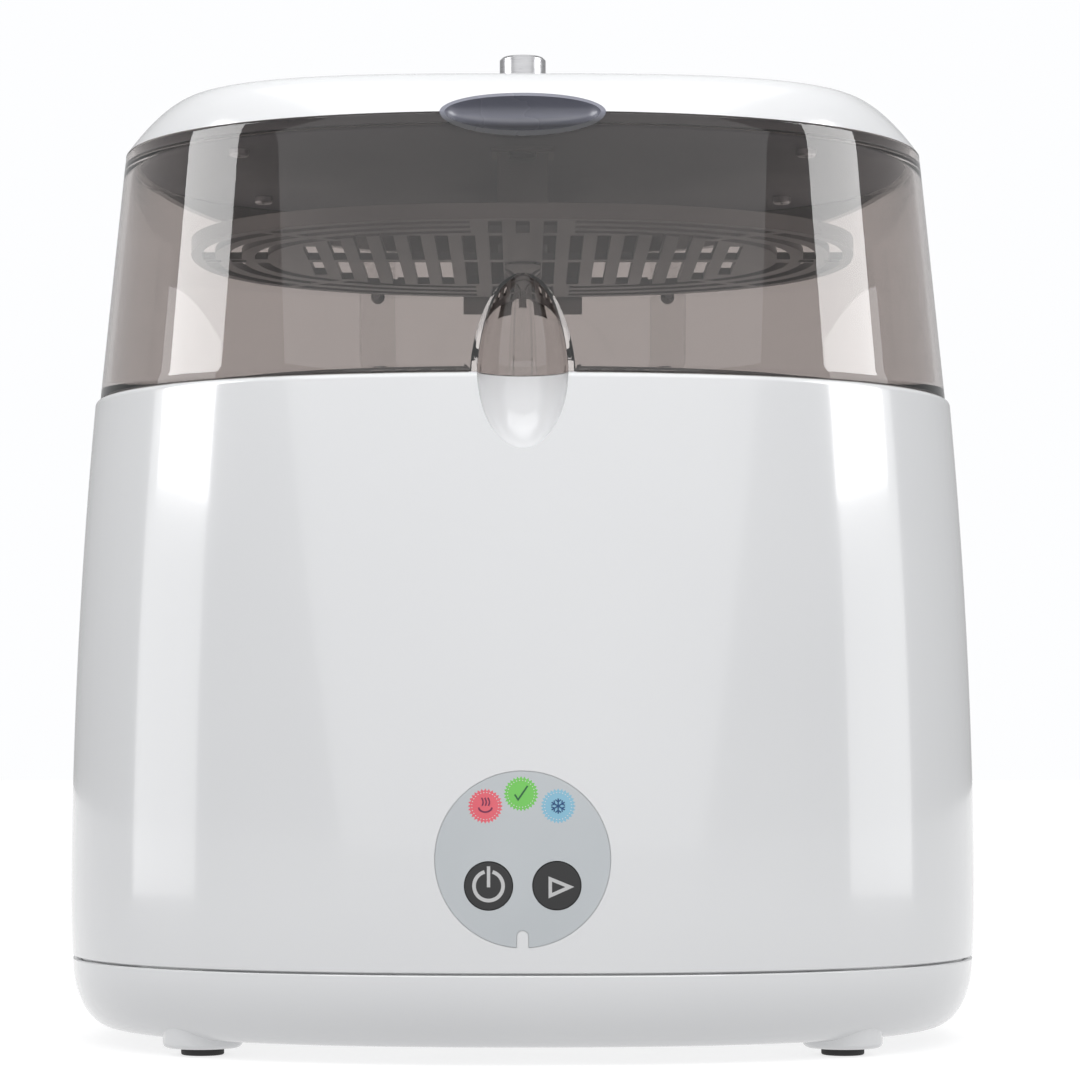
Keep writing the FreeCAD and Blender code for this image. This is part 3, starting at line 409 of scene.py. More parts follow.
def smoked(name, tint, rough):
    """Smoked clear plastic. Lamps and bounced light pass it with its tint and without bending."""
    material, tree, shader, output = new_material(name)
    low = [c * 0.985 for c in tint]
    tree.links.new(ramp(tree, noise(tree, 9.0, 1.0), low, tint), shader.inputs["Base Color"])
    tree.links.new(levels(tree, noise(tree, 30.0, 3.0), *rough), shader.inputs["Roughness"])
    bump(tree, shader, noise(tree, 22.0, 1.0), 0.08, 0.05)
    shader.inputs["Transmission Weight"].default_value = 1.0
    shader.inputs["IOR"].default_value = 1.49
    clear = tree.nodes.new("ShaderNodeBsdfTransparent")
    clear.inputs["Color"].default_value = (*[c ** LIT_THROUGH for c in tint], 1.0)
    path = tree.nodes.new("ShaderNodeLightPath")
    either = tree.nodes.new("ShaderNodeMath")
    either.operation = "MAXIMUM"
    tree.links.new(path.outputs["Is Shadow Ray"], either.inputs[0])
    tree.links.new(path.outputs["Is Diffuse Ray"], either.inputs[1])
    mix = tree.nodes.new("ShaderNodeMixShader")
    tree.links.new(either.outputs["Value"], mix.inputs["Fac"])
    tree.links.new(shader.outputs["BSDF"], mix.inputs[1])
    tree.links.new(clear.outputs["BSDF"], mix.inputs[2])
    tree.links.new(mix.outputs["Shader"], output.inputs["Surface"])
    return material


def painted_pocket_shade(name, low, high):
    """Tinted plastic with a colour ramp by height: darker below as painted shade, lighter and bluish above,
    against the cap, as a painted highlight.
    """
    material, tree, shader, output = new_material(name)
    split = tree.nodes.new("ShaderNodeSeparateXYZ")
    tree.links.new(tree.nodes.new("ShaderNodeTexCoord").outputs["Generated"], split.inputs[0])
    # ramp by height: the low colour is painted shade, the high colour a painted bluish highlight
    tree.links.new(ramp(tree, split.outputs["Z"], low, high, 0.3, 0.52), shader.inputs["Base Color"])
    tree.links.new(levels(tree, noise(tree, 60.0), 0.22, 0.32), shader.inputs["Roughness"])
    bump(tree, shader, noise(tree, 900.0), 0.1, 0.02)
    return material


def circuit_board(name):
    """Green solder resist with paler copper tracks under it."""
    material, tree, shader, output = new_material(name)
    coordinates = tree.nodes.new("ShaderNodeTexCoord")
    tracks = tree.nodes.new("ShaderNodeTexBrick")
    tracks.inputs["Scale"].default_value = 160.0
    tracks.inputs["Mortar Size"].default_value = 0.09
    tracks.inputs["Color1"].default_value = (0.012, 0.085, 0.035, 1.0)
    tracks.inputs["Color2"].default_value = (0.010, 0.070, 0.030, 1.0)
    tracks.inputs["Mortar"].default_value = (0.05, 0.20, 0.07, 1.0)
    tree.links.new(coordinates.outputs["Object"], tracks.inputs["Vector"])
    tree.links.new(tracks.outputs["Color"], shader.inputs["Base Color"])
    tree.links.new(levels(tree, noise(tree, 60.0), 0.25, 0.4), shader.inputs["Roughness"])
    bump(tree, shader, tracks.outputs["Fac"], 0.4, 0.05)
    return material


def printed(name, colour):
    """Ink on the panel or on a key."""
    return moulded("print_" + name, [c * 0.92 for c in colour], colour, (0.35, 0.45),
                   grain=2500.0, depth=0.005)


def make_materials():
    return {
        "body_white": moulded("body_white", (0.80, 0.805, 0.815), (0.825, 0.83, 0.838), (0.10, 0.16),
                              grain=420.0, depth=0.004, patch=7.0, Coat_Weight=0.4, Coat_Roughness=0.04),
        "tub_white": moulded("tub_white", (0.76, 0.765, 0.77), (0.80, 0.80, 0.80), (0.28, 0.40)),
        "rack_white": moulded("rack_white", (0.74, 0.745, 0.75), (0.79, 0.79, 0.79), (0.30, 0.42),
                              Subsurface_Weight=0.15, Subsurface_Scale=0.004),
        "panel_grey": moulded("panel_grey", (0.55, 0.58, 0.60), (0.58, 0.61, 0.63), (0.30, 0.38),
                              grain=1500.0, depth=0.01),
        "smoke_clear": smoked("smoke_clear", (0.552, 0.512, 0.495), (0.0, 0.02)),
        # pocket_tint: its ramp is painted shade below and a painted bluish highlight above
        "pocket_tint": painted_pocket_shade("pocket_tint", (0.055, 0.055, 0.06), (0.20, 0.205, 0.25)),
        "arm_clear": smoked("arm_clear", (0.90, 0.895, 0.89), (0.02, 0.05)),
        # tray: white plastic drawn dark grey as painted shade
        "tray_painted_shade": moulded("tray_painted_shade", (0.15, 0.145, 0.15), (0.18, 0.175, 0.18), (0.30, 0.42)),
        # lid ceiling: smoke tint darkened further as painted shade, with a bluish cast as a painted
        # reflection
        "ceiling_smoke_and_shade": moulded("ceiling_smoke_and_shade", (0.19, 0.195, 0.225), (0.22, 0.225, 0.255), (0.45, 0.6)),
        "button_black": moulded("button_black", (0.006, 0.006, 0.007), (0.012, 0.012, 0.013), (0.25, 0.35)),
        "lens_red": moulded("lens_red", (0.80, 0.10, 0.14), (0.86, 0.16, 0.20), (0.2, 0.3)),
        "lens_green": moulded("lens_green", (0.13, 0.55, 0.08), (0.20, 0.64, 0.12), (0.2, 0.3)),
        "lens_blue": moulded("lens_blue", (0.22, 0.50, 0.68), (0.28, 0.56, 0.72), (0.2, 0.3)),
        "vent_chrome": brushed("vent_chrome", (0.38, 0.38, 0.39), (0.46, 0.46, 0.47), (0.24, 0.34),
                               (1.0, 1.0, 12.0), 160.0, 0.004),
        "duct_grey": moulded("duct_grey", (0.16, 0.155, 0.16), (0.20, 0.195, 0.20), (0.3, 0.4)),
        "silicone": moulded("silicone", (0.55, 0.55, 0.54), (0.62, 0.62, 0.60), (0.45, 0.6)),
        "plate_steel": brushed("plate_steel", (0.52, 0.52, 0.53), (0.68, 0.68, 0.69), (0.22, 0.38),
                               (1.0, 18.0, 1.0), 60.0),
        "zinc_steel": brushed("zinc_steel", (0.55, 0.55, 0.57), (0.68, 0.68, 0.70), (0.28, 0.42),
                              (1.0, 1.0, 1.0), 500.0),
        "element_metal": brushed("element_metal", (0.45, 0.45, 0.45), (0.60, 0.60, 0.60), (0.35, 0.5),
                                 (1.0, 1.0, 1.0), 700.0),
        "control_brown": moulded("control_brown", (0.06, 0.025, 0.012), (0.09, 0.04, 0.02), (0.3, 0.45)),
        "fuse_cream": moulded("fuse_cream", (0.62, 0.56, 0.42), (0.70, 0.64, 0.50), (0.4, 0.55)),
        "board_green": circuit_board("board_green"),
        "led_cream": moulded("led_cream", (0.75, 0.72, 0.55), (0.82, 0.80, 0.65), (0.2, 0.3)),
        "part_black": moulded("part_black", (0.012, 0.012, 0.013), (0.02, 0.02, 0.022), (0.35, 0.5)),
        "relay_blue": moulded("relay_blue", (0.02, 0.07, 0.28), (0.03, 0.10, 0.36), (0.3, 0.4)),
        "block_green": moulded("block_green", (0.03, 0.25, 0.10), (0.05, 0.32, 0.14), (0.35, 0.45)),
        "print_pale": printed("pale", (0.74, 0.72, 0.72)),
        "print_silver": printed("silver", (0.60, 0.60, 0.60)),
        "print_maroon": printed("maroon", (0.17, 0.015, 0.07)),
        "print_forest": printed("forest", (0.008, 0.10, 0.03)),
        "print_navy": printed("navy", (0.008, 0.07, 0.20)),
        "rubber_black": moulded("rubber_black", (0.018, 0.018, 0.018), (0.03, 0.03, 0.03), (0.6, 0.8),
                                grain=1400.0, depth=0.05),
    }


MATERIALS = make_materials()
# Looks that stand for another of the record's slots, and CAD nodes that don't take their slot's look.
OWN_LOOKS = {"tray_post": "arm_clear", "hinge_arm_left": "arm_clear", "hinge_arm_right": "arm_clear"}


# ---- body ----
def outer_solid(inward=0.0):
    """The body's outside as one closed solid."""
    rings = [inside(body_inset(z) + inward, z) for z in steps(BODY_Z, RIM_Z, 24)]
    return solid("tool", rings)


def scoop(grow, shift=0.0):
    """Bullet-shaped finger scoop about a vertical axis, pointed above and round below."""
    profile = []
    for a in steps(90.0, 0.0, 24):
        s, c = math.sin(math.radians(a)), math.cos(math.radians(a))
        profile.append(((SCOOP_R + grow) * c if a < 90.0 else 0.0,
                        RIM_Z + (SCOOP_UP + grow) * s ** SCOOP_POINT))
    for a in steps(0.0, 90.0, 24)[1:]:
        s, c = math.sin(math.radians(a)), math.cos(math.radians(a))
        profile.append(((SCOOP_R + grow) * c if a < 90.0 else 0.0, RIM_Z - (SCOOP_DOWN + grow) * s))
    return upright(profile, 0.0, SCOOP_Y + shift, 96)


def panel_key(grow):
    """U-shaped key that stands in a notch at the bottom of the panel."""
    half = KEY_HALF_W + grow
    low = PANEL_Z - PANEL_R - 2.0
    top = PANEL_Z - PANEL_R + KEY_RISE
    ring = [(-half, low), (half, low)]
    ring += [(half * math.cos(a), top + half * math.sin(a)) for a in angles(0.0, 180.0, 16)]
    return solid("tool", [[(x, y, z) for x, z in ring] for y in FRONT_TOOL])


def front_layer(tool, depth):
    """What a tool takes of the body's skin, down to a depth behind the front."""
    tool = combine(tool, "INTERSECT", outer_solid())
    return combine(tool, "DIFFERENCE", moved(outer_solid(), 0.0, depth, 0.0))


def ribbon(points, width, closed=False):
    """Left and right edges of a line of constant width through points (x, z)."""
    left, right = [], []
    count = len(points)
    for i, (x, z) in enumerate(points):
        before = points[i - 1] if closed or i > 0 else None
        after = points[(i + 1) % count] if closed or i < count - 1 else None
        ways = []
        for a, b in ((before, (x, z)), ((x, z), after)):
            if a and b:
                way = Vector((b[0] - a[0], b[1] - a[1]))
                ways.append(way.normalized())
        along = sum(ways, Vector((0.0, 0.0))).normalized()
        reach = width / 2 / max(along.dot(ways[0]), 0.3)
        left.append((x - along.y * reach, z + along.x * reach))
        right.append((x + along.y * reach, z - along.x * reach))
    return left, right


def front_prism(ring, x, z):
    """Prism from well in front of the body to inside it, over a ring about (x, z) on the panel."""
    return solid("tool", [[(x + u, y, PANEL_Z + z + v) for u, v in ring] for y in FRONT_TOOL])


def line_tool(points, width, x, z, closed=False):
    """Prism over a line of constant width through points about (x, z) on the panel."""
    left, right = ribbon(points, width, closed)
    if not closed:
        return front_prism(left + right[::-1], x, z)
    out, into = FRONT_TOOL
    rings = [[(x + u, y, PANEL_Z + z + v) for u, v in side]
             for side, y in ((left, out), (left, into), (right, into), (right, out))]
    return solid("tool", rings, closed=True)


def disc_ring(r, count=48, teeth=0.0):
    """Round outline; teeth is how deep every other point lies."""
    return [((r - teeth * (i % 2)) * math.cos(2 * math.pi * i / count),
             (r - teeth * (i % 2)) * math.sin(2 * math.pi * i / count)) for i in range(count)]


def ink(name, colour, body, tools):
    """Print on the panel or on a key: a layer PRINT_T thick on the surface."""
    layer = combine(tools[0], "UNION", *tools[1:]) if len(tools) > 1 else tools[0]
    layer = combine(layer, "INTERSECT", moved(outer_solid(), 0.0, -PRINT_T, 0.0))
    layer = combine(layer, "DIFFERENCE", moved(outer_solid(), 0.0, 0.02, 0.0))
    finish(layer, name, body, colour)


def lamp_tool(name):
    x, z = LAMPS[name]
    return front_prism(disc_ring(LENS_R, 2 * LENS_TEETH, 0.75), x, z)


def make_panel():
    disc = combine(pin_y(PANEL_R, *FRONT_TOOL, 0.0, PANEL_Z, 160), "DIFFERENCE", panel_key(0.15))
    holes = [pin_y(BUTTON_R + GAP, -131.0, -99.0, x, PANEL_Z + z, 96) for x, z in KEYS.values()]
    holes += [lamp_tool(name) for name in LAMPS]
    panel = front_layer(combine(disc, "DIFFERENCE", group(holes)), PANEL_T)
    finish(panel, "panel_face", "base", "panel_grey", ["panel_overlay"])
    for name, slot in (("steam", "lens_red"), ("ready", "lens_green"), ("cooling", "lens_blue")):
        x, z = LAMPS[name]
        face = front_layer(lamp_tool(name), PANEL_T)
        pipe = combine(pin_y(2.6, -119.0, BOARD_Y - 1.7, x, PANEL_Z + z), "INTERSECT", outer_solid(0.3))
        finish(combine(face, "UNION", pipe), name + "_lamp", "base", slot, [name + "_lens"])
        dots = [front_prism([(u + LENS_R * 0.77 * math.cos(a), v + LENS_R * 0.77 * math.sin(a))
                             for u, v in disc_ring(0.17, 8)], x, z)
                for a in [2 * math.pi * (i + 0.5) / LENS_TEETH for i in range(LENS_TEETH)]]
        ink(name + "_dots", "print_pale", "base", [group(dots)])


def polar(r, a):
    return r * math.cos(a), r * math.sin(a)


def make_icons():
    x, z = LAMPS["steam"]
    wisps = [line_tool([(u + 0.32 * math.sin(t * 3.6), 0.1 + 2.4 * t) for t in steps(0.0, 1.0, 8)],
                       0.42, x, z) for u in (-0.95, 0.0, 0.95)]
    dish = line_tool([(2.0 * math.cos(math.radians(a)), -0.35 + 1.45 * math.sin(math.radians(a)))
                      for a in steps(-178.0, -2.0, 16)], 0.5, x, z)
    ink("steam_icon", "print_maroon", "base", [group(wisps + [dish])])
    x, z = LAMPS["ready"]
    ink("ready_icon", "print_forest", "base",
        [line_tool([(-1.9, -0.2), (-0.9, -1.8), (2.0, 2.4)], 0.5, x, z)])
    x, z = LAMPS["cooling"]
    arms = []
    for degrees in (90.0, 30.0, 150.0):
        a = math.radians(degrees)
        arms.append(line_tool([polar(-2.3, a), polar(2.3, a)], 0.42, x, z))
        for end in (-1.0, 1.0):
            barb = [polar(end * 2.1, a - 0.42), polar(end * 1.25, a), polar(end * 2.1, a + 0.42)]
            arms.append(line_tool(barb, 0.36, x, z))
    ink("cooling_icon", "print_navy", "base", arms)
    x, z = KEYS["power"]
    arc = [polar(4.375, a) for a in angles(106.0, 434.0, 60)]
    ink("power_icon", "print_silver", "power_key",
        [group([line_tool(arc, 1.1, x, z), line_tool([(0.0, 5.9), (0.0, -0.4)], 1.0, x, z)])])
    x, z = KEYS["start"]
    ink("start_icon", "print_silver", "start_key",
        [line_tool([(-2.0, 2.0), (3.9, -0.4), (-2.0, -3.0)], 1.05, x, z, closed=True)])


def make_keys():
    for name, (x, z) in KEYS.items():
        cap = combine(pin_y(BUTTON_R, -125.0, -113.0, x, PANEL_Z + z, 96), "INTERSECT", outer_solid())
        flange = along_y([(BUTTON_R + 1.4, -113.7), (BUTTON_R + 1.4, -112.4), (2.0, -112.4),
                          (2.0, BOARD_Y - 5.2)], x, PANEL_Z + z)
        finish(combine(cap, "UNION", flange), name + "_cap", name + "_key", "button_black",
               [name + "_button"])


def make_body():
    rings = [inside(body_inset(BODY_Z) + 0.3, BODY_Z)]
    for z in steps(BODY_Z + 0.3, RIM_Z - RIM_ROUND, 44):
        rings.append(inside(body_inset(z), z))
    edge = body_inset(RIM_Z - RIM_ROUND)
    for a in angles(0.0, 90.0, 8)[1:]:
        rings.append(inside(edge + RIM_ROUND * (1 - math.cos(a)), RIM_Z - RIM_ROUND * (1 - math.sin(a))))
    far = edge + RIM_ROUND
    for share in steps(0.0, 1.0, 4)[1:]:
        half_x = (HALF_X - far) * (1 - share) + (MOUTH_X + MOUTH_ROUND) * share
        half_y = (HALF_Y - far) * (1 - share) + (MOUTH_Y + MOUTH_ROUND) * share
        rings.append(oval(half_x, half_y, RIM_Z))
    for a in angles(30.0, 90.0, 2):
        out = MOUTH_ROUND * (1 - math.sin(a))
        rings.append(oval(MOUTH_X + out, MOUTH_Y + out, RIM_Z - MOUTH_ROUND * (1 - math.cos(a))))
    under = RIM_Z - FLANGE_T
    rings.append(oval(MOUTH_X, MOUTH_Y, under))
    for z in steps(under, BODY_Z, 16):
        rings.append(inside(body_inset(z) + WALL, z))
    body = solid("body", rings, closed=True)
    wall = combine(scoop(WALL, SCOOP_BACKING), "INTERSECT", outer_solid(0.4))
    posts = [pin_y(3.0, -116.2, BOARD_Y, x, PANEL_Z + z) for x, z in BOARD_POSTS]
    ribs = []
    for x, y in BASE_SCREWS:
        side = math.copysign(1.0, x)
        ribs.append(block(min(x + 4 * side, 140.3 * side), y - 1.4, SEAM_Z + 5.5,
                          max(x + 4 * side, 140.3 * side), y + 1.4, 62.0))
    screw_posts = [pin(5.5, SEAM_Z + 2.0, 62.0, x, y) for x, y in BASE_SCREWS]
    body = combine(body, "UNION", wall, group(posts), group(ribs), group(screw_posts))
    body = combine(body, "DIFFERENCE", scoop(0.0))
    recess = combine(pin_y(PANEL_R + 0.2, *FRONT_TOOL, 0.0, PANEL_Z, 160), "DIFFERENCE", panel_key(0.0))
    recess = combine(recess, "DIFFERENCE", moved(outer_solid(), 0.0, PANEL_T, 0.0))
    holes = [pin_y(BUTTON_R + GAP, -125.0, -108.0, x, PANEL_Z + z, 96) for x, z in KEYS.values()]
    holes += [pin_y(2.7, -125.0, -108.0, x, PANEL_Z + z) for x, z in LAMPS.values()]
    holes += [pin_y(1.3, BOARD_Y - 7.0, BOARD_Y + 1.0, x, PANEL_Z + z) for x, z in BOARD_POSTS]
    holes += [pin_y(SMALL_SCREW_R, *REAR_TOOL, x, BRACKET_SCREW_Z) for x in BRACKET_SCREW_X]
    holes += [pin(2.0, SEAM_Z, 50.0, x, y) for x, y in BASE_SCREWS]
    x, z = GLAND_PLACE
    near, far = REAR_TOOL
    holes.append(block(x - GLAND_HALF, near, z - GLAND_HALF, x + GLAND_HALF, far, z + GLAND_HALF))
    body = combine(body, "DIFFERENCE", recess, group(holes))
    finish(body, "body_skin", "base", "body_white", ["body_shell"])


def make_pan():
    rings = [inside(body_inset(SEAM_Z) + 0.3, SEAM_Z)]
    lip_out = body_inset(SEAM_Z) + WALL + GAP
    for a in angles(1.0, 90.0, 24):
        rings.append(inside(body_inset(SEAM_Z) + PAN_CURVE * (1 - math.cos(a)),
                            SEAM_Z - (SEAM_Z - PAN_Z) * math.sin(a)))
    reach = body_inset(SEAM_Z) + PAN_CURVE
    rings += disc_rings(HALF_X - reach, HALF_Y - reach, PAN_Z)
    inner = []
    for a in angles(90.0, 10.0, 12):
        inner.append(inside(body_inset(SEAM_Z) + WALL + PAN_CURVE * (1 - math.cos(a)),
                            SEAM_Z - (SEAM_Z - PAN_Z - WALL) * math.sin(a)))
    top = PAN_Z + WALL
    rings += list(reversed(disc_rings(HALF_X - reach - WALL, HALF_Y - reach - WALL, top)))
    rings += inner
    rings.append(inside(lip_out + PAN_LIP_T, SEAM_Z - PAN_LIP))
    rings.append(inside(lip_out + PAN_LIP_T, SEAM_Z + PAN_LIP))
    rings.append(inside(lip_out, SEAM_Z + PAN_LIP))
    rings.append(inside(lip_out, SEAM_Z))
    pan = solid("pan", rings, closed=True)
    bosses = []
    for x, y in FOOT_PLACES:
        profile = [(0.0, FOOT_Z)]
        for a in angles(0.0, 90.0, 6):
            profile.append((FOOT_BOSS_R - FOOT_BOSS_ROUND * (1 - math.sin(a)),
                            FOOT_Z + FOOT_BOSS_ROUND * (1 - math.cos(a))))
        profile += [(FOOT_BOSS_R, 20.0), (0.0, 20.0)]
        bosses.append(upright(profile, x, y, 96))
    bosses += [pin(6.0, PAN_Z + 0.5, SEAM_Z + 2.0, x, y) for x, y in BASE_SCREWS]
    bosses += [pin(3.0, PAN_Z + 0.5, POWER_BOARD_Z, x, y) for x, y in POWER_POSTS]
    holes = [slot_tool(VENT_SLOT_PITCH * (i - VENT_SLOTS // 2), VENT_SLOT_Y, 1.6, 14.0, 0.0,
                       PAN_Z + WALL + 1.0) for i in range(VENT_SLOTS)]
    holes += [upright([(4.2, 0.0), (4.2, 12.0), (2.3, 12.0), (2.3, 40.0)], x, y) for x, y in BASE_SCREWS]
    holes += [pin(2.5, 0.0, 9.0, x, y) for x, y in FOOT_PLACES]
    combine(pan, "UNION", group(bosses))
    combine(pan, "DIFFERENCE", group(holes))
    finish(pan, "pan_skin", "base", "body_white", ["base_pan"])


# ---- lid ----
def lid_outer(low, high, inward=0.0):
    return solid("tool", [inside(lid_inset(z) + inward, z) for z in steps(low, high, 8)])


def ellipsoid(half_x, half_y, half_z, x, y, z):
    rings = []
    for a in steps(-90.0, 90.0, 48):
        c, s = math.cos(math.radians(a)), math.sin(math.radians(a))
        if abs(a) > 89.9:
            rings.append([(x + half_x * s, y, z)])
        else:
            rings.append([(x + half_x * s, y + half_y * c * math.cos(2 * math.pi * i / 96),
                           z + half_z * c * math.sin(2 * math.pi * i / 96)) for i in range(96)])
    return solid("tool", rings)


def pocket_tool():
    return ellipsoid(*POCKET, 0.0, -(HALF_Y - lid_inset(POCKET_MID_Z)), POCKET_MID_Z)


def lid_core(inset):
    """Everything over the lid's hollow, within an inset of the widest plan."""
    return solid("tool", [inside(inset, z) for z in (LID_TOP - CEILING_T - 1.0, LID_TOP + 1.0)])


def make_lid():
    edge = lid_inset(LID_TOP)
    flat = edge + LID_ROUND
    rings = list(reversed(disc_rings(HALF_X - flat, HALF_Y - flat, LID_TOP)))
    for a in angles(90.0, 0.0, 4):
        rings.append(inside(edge + LID_ROUND * (1 - math.cos(a)), LID_TOP - LID_ROUND * (1 - math.sin(a))))
    for z in steps(LID_TOP - LID_ROUND, LID_Z + 0.4, 24)[1:]:
        rings.append(inside(lid_inset(z), z))
    foot = lid_inset(LID_Z)
    rings.append(inside(foot + 0.12, LID_Z + 0.12))
    rings.append(inside(foot + 0.4, LID_Z))
    rings.append(inside(foot + WALL - 0.4, LID_Z))
    rings.append(inside(foot + WALL - 0.12, LID_Z + 0.12))
    ceiling = LID_TOP - CEILING_T
    for z in steps(LID_Z + 0.4, ceiling - CEILING_FILLET, 24):
        rings.append(inside(lid_inset(z) + WALL, z))
    corner = lid_inset(ceiling) + WALL
    for a in angles(0.0, 90.0, 6)[1:]:
        rings.append(inside(corner + CEILING_FILLET * (1 - math.cos(a)),
                            ceiling - CEILING_FILLET * (1 - math.sin(a))))
    core = corner + CEILING_FILLET
    rings += disc_rings(HALF_X - core, HALF_Y - core, ceiling)
    lid = solid("lid", rings, closed=True)
    wall = combine(scoop(WALL), "INTERSECT", lid_outer(LID_Z + 0.05, LID_TOP - 5.0, 0.4))
    combine(lid, "UNION", wall)
    holes = [pin(VENT_TUBE_R, 280.0, 300.0, 0.0, VENT_Y)]
    holes += [pin(1.8, 280.0, 300.0, x, y) for x, y in CAP_SCREWS]
    holes += [pin_y(SMALL_SCREW_R, 80.0, 125.0, x, z) for x in (-HINGE_X, HINGE_X) for z in ARM_SCREW_Z]
    combine(lid, "DIFFERENCE", scoop(0.0), pocket_tool(), group(holes))
    plate = combine(group([lid.copy()]), "INTERSECT", lid_core(core + CEILING_GAP))
    combine(lid, "DIFFERENCE", lid_core(core))
    finish(lid, "lid_shell", "lid", "smoke_clear", ["lid_window"])
    # the ceiling plate is opaque; its dark bluish grey is the smoke plus painted shade and a painted
    # reflection
    finish(plate, "lid_ceiling", "lid", "ceiling_smoke_and_shade", ["lid_window"])


def cap_rings(inward):
    """Rings from the cap's lower edge up over the shoulder to the middle of the dome."""
    start = lid_inset(LID_TOP) + inward
    rise = CAP_RISE - inward
    rings = []
    for a in angles(0.0, 90.0, 36):
        share = 1 - abs(math.cos(a)) ** CAP_IN_POWER
        inset = start + CAP_SHOULDER * share
        rings.append(oval(HALF_X - inset, HALF_Y - inset, CAP_Z + rise * math.sin(a) ** CAP_UP_POWER,
                          POWER + (CAP_PLAN_POWER - POWER) * share))
    half_x = HALF_X - start - CAP_SHOULDER
    half_y = HALF_Y - start - CAP_SHOULDER
    for share in (0.95, 0.88, 0.78, 0.64, 0.5, 0.36, 0.22, 0.1):
        rings.append(oval(half_x * share, half_y * share, CAP_Z + rise + CAP_DOME * (1 - share ** 2),
                          CAP_PLAN_POWER))
    rings.append([(0.0, 0.0, CAP_Z + rise + CAP_DOME)])
    return rings


def rear_skirt():
    """Skirt that wraps the rear of the lid and a tongue down to the hinge line."""
    low = [inside(lid_inset(z) - SKIRT_T, z) for z in steps(TONGUE_Z, LID_TOP, 12)]
    low.append(inside(lid_inset(LID_TOP) + 4.5, CAP_Z + 5.0))
    hollow = [inside(lid_inset(z) - 0.02, z) for z in steps(TONGUE_Z - 1.0, CAP_Z, 12)]
    hollow += [inside(lid_inset(LID_TOP) + 1.0, CAP_Z), inside(lid_inset(LID_TOP) + 6.0, CAP_Z + 6.0)]
    layer = combine(solid("tool", low), "DIFFERENCE", solid("tool", hollow))
    mask = side_prism([(24.0, CAP_Z + 0.3), (104.0, SKIRT_Z), (130.0, SKIRT_Z), (130.0, CAP_Z + 6.0),
                       (24.0, CAP_Z + 6.0)], -160.0, 160.0)
    mask = combine(mask, "UNION", block(-TONGUE_X, 60.0, TONGUE_Z - 2.0, TONGUE_X, 129.0, CAP_Z + 1.0))
    return combine(layer, "INTERSECT", mask)


def make_cap():
    cap = solid("cap", cap_rings(0.0) + list(reversed(cap_rings(CAP_WALL))), closed=True)
    bosses = [combine(pin(4.2, CAP_Z, CAP_Z + 30.0, x, y), "INTERSECT", solid("tool", cap_rings(0.6)))
              for x, y in CAP_SCREWS]
    combine(cap, "UNION", group(bosses), rear_skirt())
    holes = [pin(1.6, CAP_Z - 1.0, CAP_Z + 9.0, x, y) for x, y in CAP_SCREWS]
    holes.append(pin(VENT_R - 0.6, 300.0, 330.0, 0.0, VENT_Y))
    combine(cap, "DIFFERENCE", group(holes), pocket_tool())
    finish(cap, "cap_skin", "lid", "body_white", ["lid_cap"])


def make_tray():
    """The accessory tray, narrower than its CAD stand-in, with its white plastic drawn dark grey as painted
    shade.
    """
    tray = frame["nodes"]["upper_tray"].copy()
    tray.data = tray.data.copy()
    bpy.context.scene.collection.objects.link(tray)
    tray.data.transform(Matrix.Diagonal((TRAY_SHARE, 1.0, 1.0, 1.0)))
    finish(tray, "tray_skin", "base", "tray_painted_shade", ["upper_tray"])


# ---- stage, light and camera ----
def make_stage():
    floor = block(-FLOOR_HALF, -FLOOR_HALF, -FLOOR_T, FLOOR_HALF, FLOOR_HALF, 0.0)
    floor.name = "floor"
    floor.data.name = "floor"
    pale = moulded("floor_pale", (0.36, 0.36, 0.36), (0.38, 0.38, 0.38), (0.7, 0.8), grain=60.0, depth=0.01,
                   Emission_Color=(1.0, 1.0, 1.0, 1.0), Emission_Strength=0.66)
    floor.data.materials.append(pale)
    floor.visible_diffuse = False


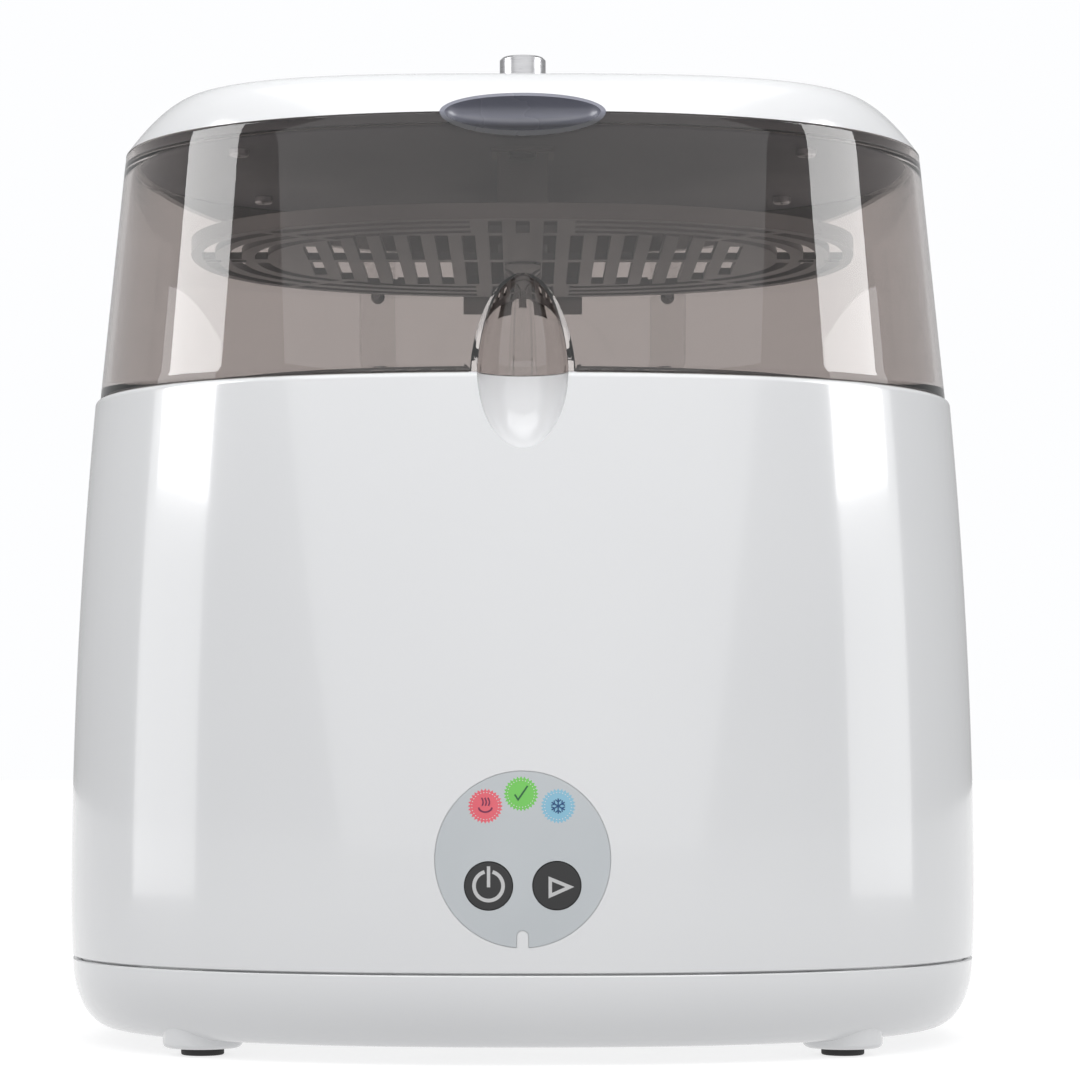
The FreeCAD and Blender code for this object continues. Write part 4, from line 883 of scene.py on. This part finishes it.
def make_world():
    """White backdrop. Bounced light comes from a sky that brightens upward, reflections from a dim room."""
    world = bpy.data.worlds.new("studio")
    bpy.context.scene.world = world
    world.use_nodes = True
    tree = world.node_tree
    tree.nodes.clear()

    def node(kind, **settings):
        made = tree.nodes.new(kind)
        for key, value in settings.items():
            setattr(made, key, value)
        return made

    def background(strength):
        made = node("ShaderNodeBackground")
        made.inputs["Color"].default_value = (0.985, 0.99, 1.0, 1.0)
        made.inputs["Strength"].default_value = strength
        return made

    output = node("ShaderNodeOutputWorld")
    path = node("ShaderNodeLightPath")
    direction = node("ShaderNodeTexCoord")
    split = node("ShaderNodeSeparateXYZ")
    upward = node("ShaderNodeMath", operation="MAXIMUM")
    squared = node("ShaderNodeMath", operation="POWER")
    sky_level = node("ShaderNodeMath", operation="MULTIPLY_ADD")
    upward.inputs[1].default_value = 0.0
    squared.inputs[1].default_value = 2.0
    sky_level.inputs[1].default_value = SKY_RISE
    below = node("ShaderNodeMath", operation="LESS_THAN")
    below.inputs[1].default_value = 0.0
    horizon = node("ShaderNodeMath", operation="MULTIPLY_ADD")
    horizon.inputs[1].default_value = GROUND_LEVEL - SKY_LEVEL
    horizon.inputs[2].default_value = SKY_LEVEL
    tree.links.new(split.outputs["Z"], below.inputs[0])
    tree.links.new(below.outputs[0], horizon.inputs[0])
    tree.links.new(horizon.outputs[0], sky_level.inputs[2])
    tree.links.new(direction.outputs["Generated"], split.inputs[0])
    tree.links.new(split.outputs["Z"], upward.inputs[0])
    tree.links.new(upward.outputs[0], squared.inputs[0])
    tree.links.new(squared.outputs[0], sky_level.inputs[0])
    sky = background(1.0)
    tree.links.new(sky_level.outputs[0], sky.inputs["Strength"])
    room = background(ROOM_LEVEL)
    white = background(1.0)
    bounce = node("ShaderNodeMixShader")
    tree.links.new(path.outputs["Is Diffuse Ray"], bounce.inputs["Fac"])
    tree.links.new(room.outputs[0], bounce.inputs[1])
    tree.links.new(sky.outputs[0], bounce.inputs[2])
    seen = node("ShaderNodeMath", operation="MAXIMUM")
    tree.links.new(path.outputs["Is Camera Ray"], seen.inputs[0])
    tree.links.new(path.outputs["Is Transmission Ray"], seen.inputs[1])
    mix = node("ShaderNodeMixShader")
    tree.links.new(seen.outputs[0], mix.inputs["Fac"])
    tree.links.new(bounce.outputs[0], mix.inputs[1])
    tree.links.new(white.outputs[0], mix.inputs[2])
    tree.links.new(mix.outputs[0], output.inputs["Surface"])


def softbox(name, place, target, width, height, radiance, diffuse=False):
    """Rectangular light, in metres, aimed at a point; most only show as reflections."""
    light = bpy.data.lights.new(name, "AREA")
    light.shape = "RECTANGLE"
    light.size = width
    light.size_y = height
    light.energy = radiance * math.pi * width * height
    lamp = bpy.data.objects.new(name, light)
    lamp.location = place
    lamp.rotation_euler = (Vector(target) - Vector(place)).to_track_quat("-Z", "Y").to_euler()
    lamp.visible_camera = False
    lamp.visible_diffuse = diffuse
    lamp.visible_transmission = False
    bpy.context.scene.collection.objects.link(lamp)


def make_lights():
    for side in (-1, 1):
        softbox("side_softbox", (1.185 * side, -0.19, 0.26), (0.0, 0.0, 0.26), 0.58, 0.56, 2.1)
        softbox("upper_softbox", (1.15 * side, -0.24, 0.8), (0.0, 0.0, 0.6), 0.5, 0.86, 8.0)
    softbox("front_softbox", (0.0, -1.5, 0.42), (0.0, -0.9, -0.6), 2.3, 1.5, 1.0)
    softbox("top_softbox", (0.0, 0.0, 1.8), (0.0, 0.0, 0.0), 1.6, 1.2, 1.0)
    softbox("key_softbox", (0.0, -0.45, 0.75), (0.0, -0.1, 0.2), 1.0, 0.35, 2.0, diffuse=True)


def make_camera():
    data = bpy.data.cameras.new("camera")
    data.lens = 113.5
    data.shift_x = 0.016
    camera = bpy.data.objects.new("camera", data)
    camera.location = (0.0, -1.148, 0.096)
    camera.rotation_euler = (math.radians(90.0 + 3.495), 0.0, 0.0)
    bpy.context.scene.collection.objects.link(camera)
    bpy.context.scene.camera = camera


def dress_cad_nodes():
    """Every CAD node takes its own look, or else that of its material slot."""
    for part in frame["record"]["subparts"]:
        node = frame["nodes"][part["node"]]
        look = OWN_LOOKS.get(part["node"], part["material_slot"])
        node.data.materials.clear()
        node.data.materials.append(MATERIALS[look])


make_camera()
dress_cad_nodes()
make_body()
make_panel()
make_keys()
make_icons()
make_pan()
make_lid()
make_cap()
make_tray()
make_stage()
make_world()
make_lights()
bpy.context.scene.view_settings.view_transform = "Standard"
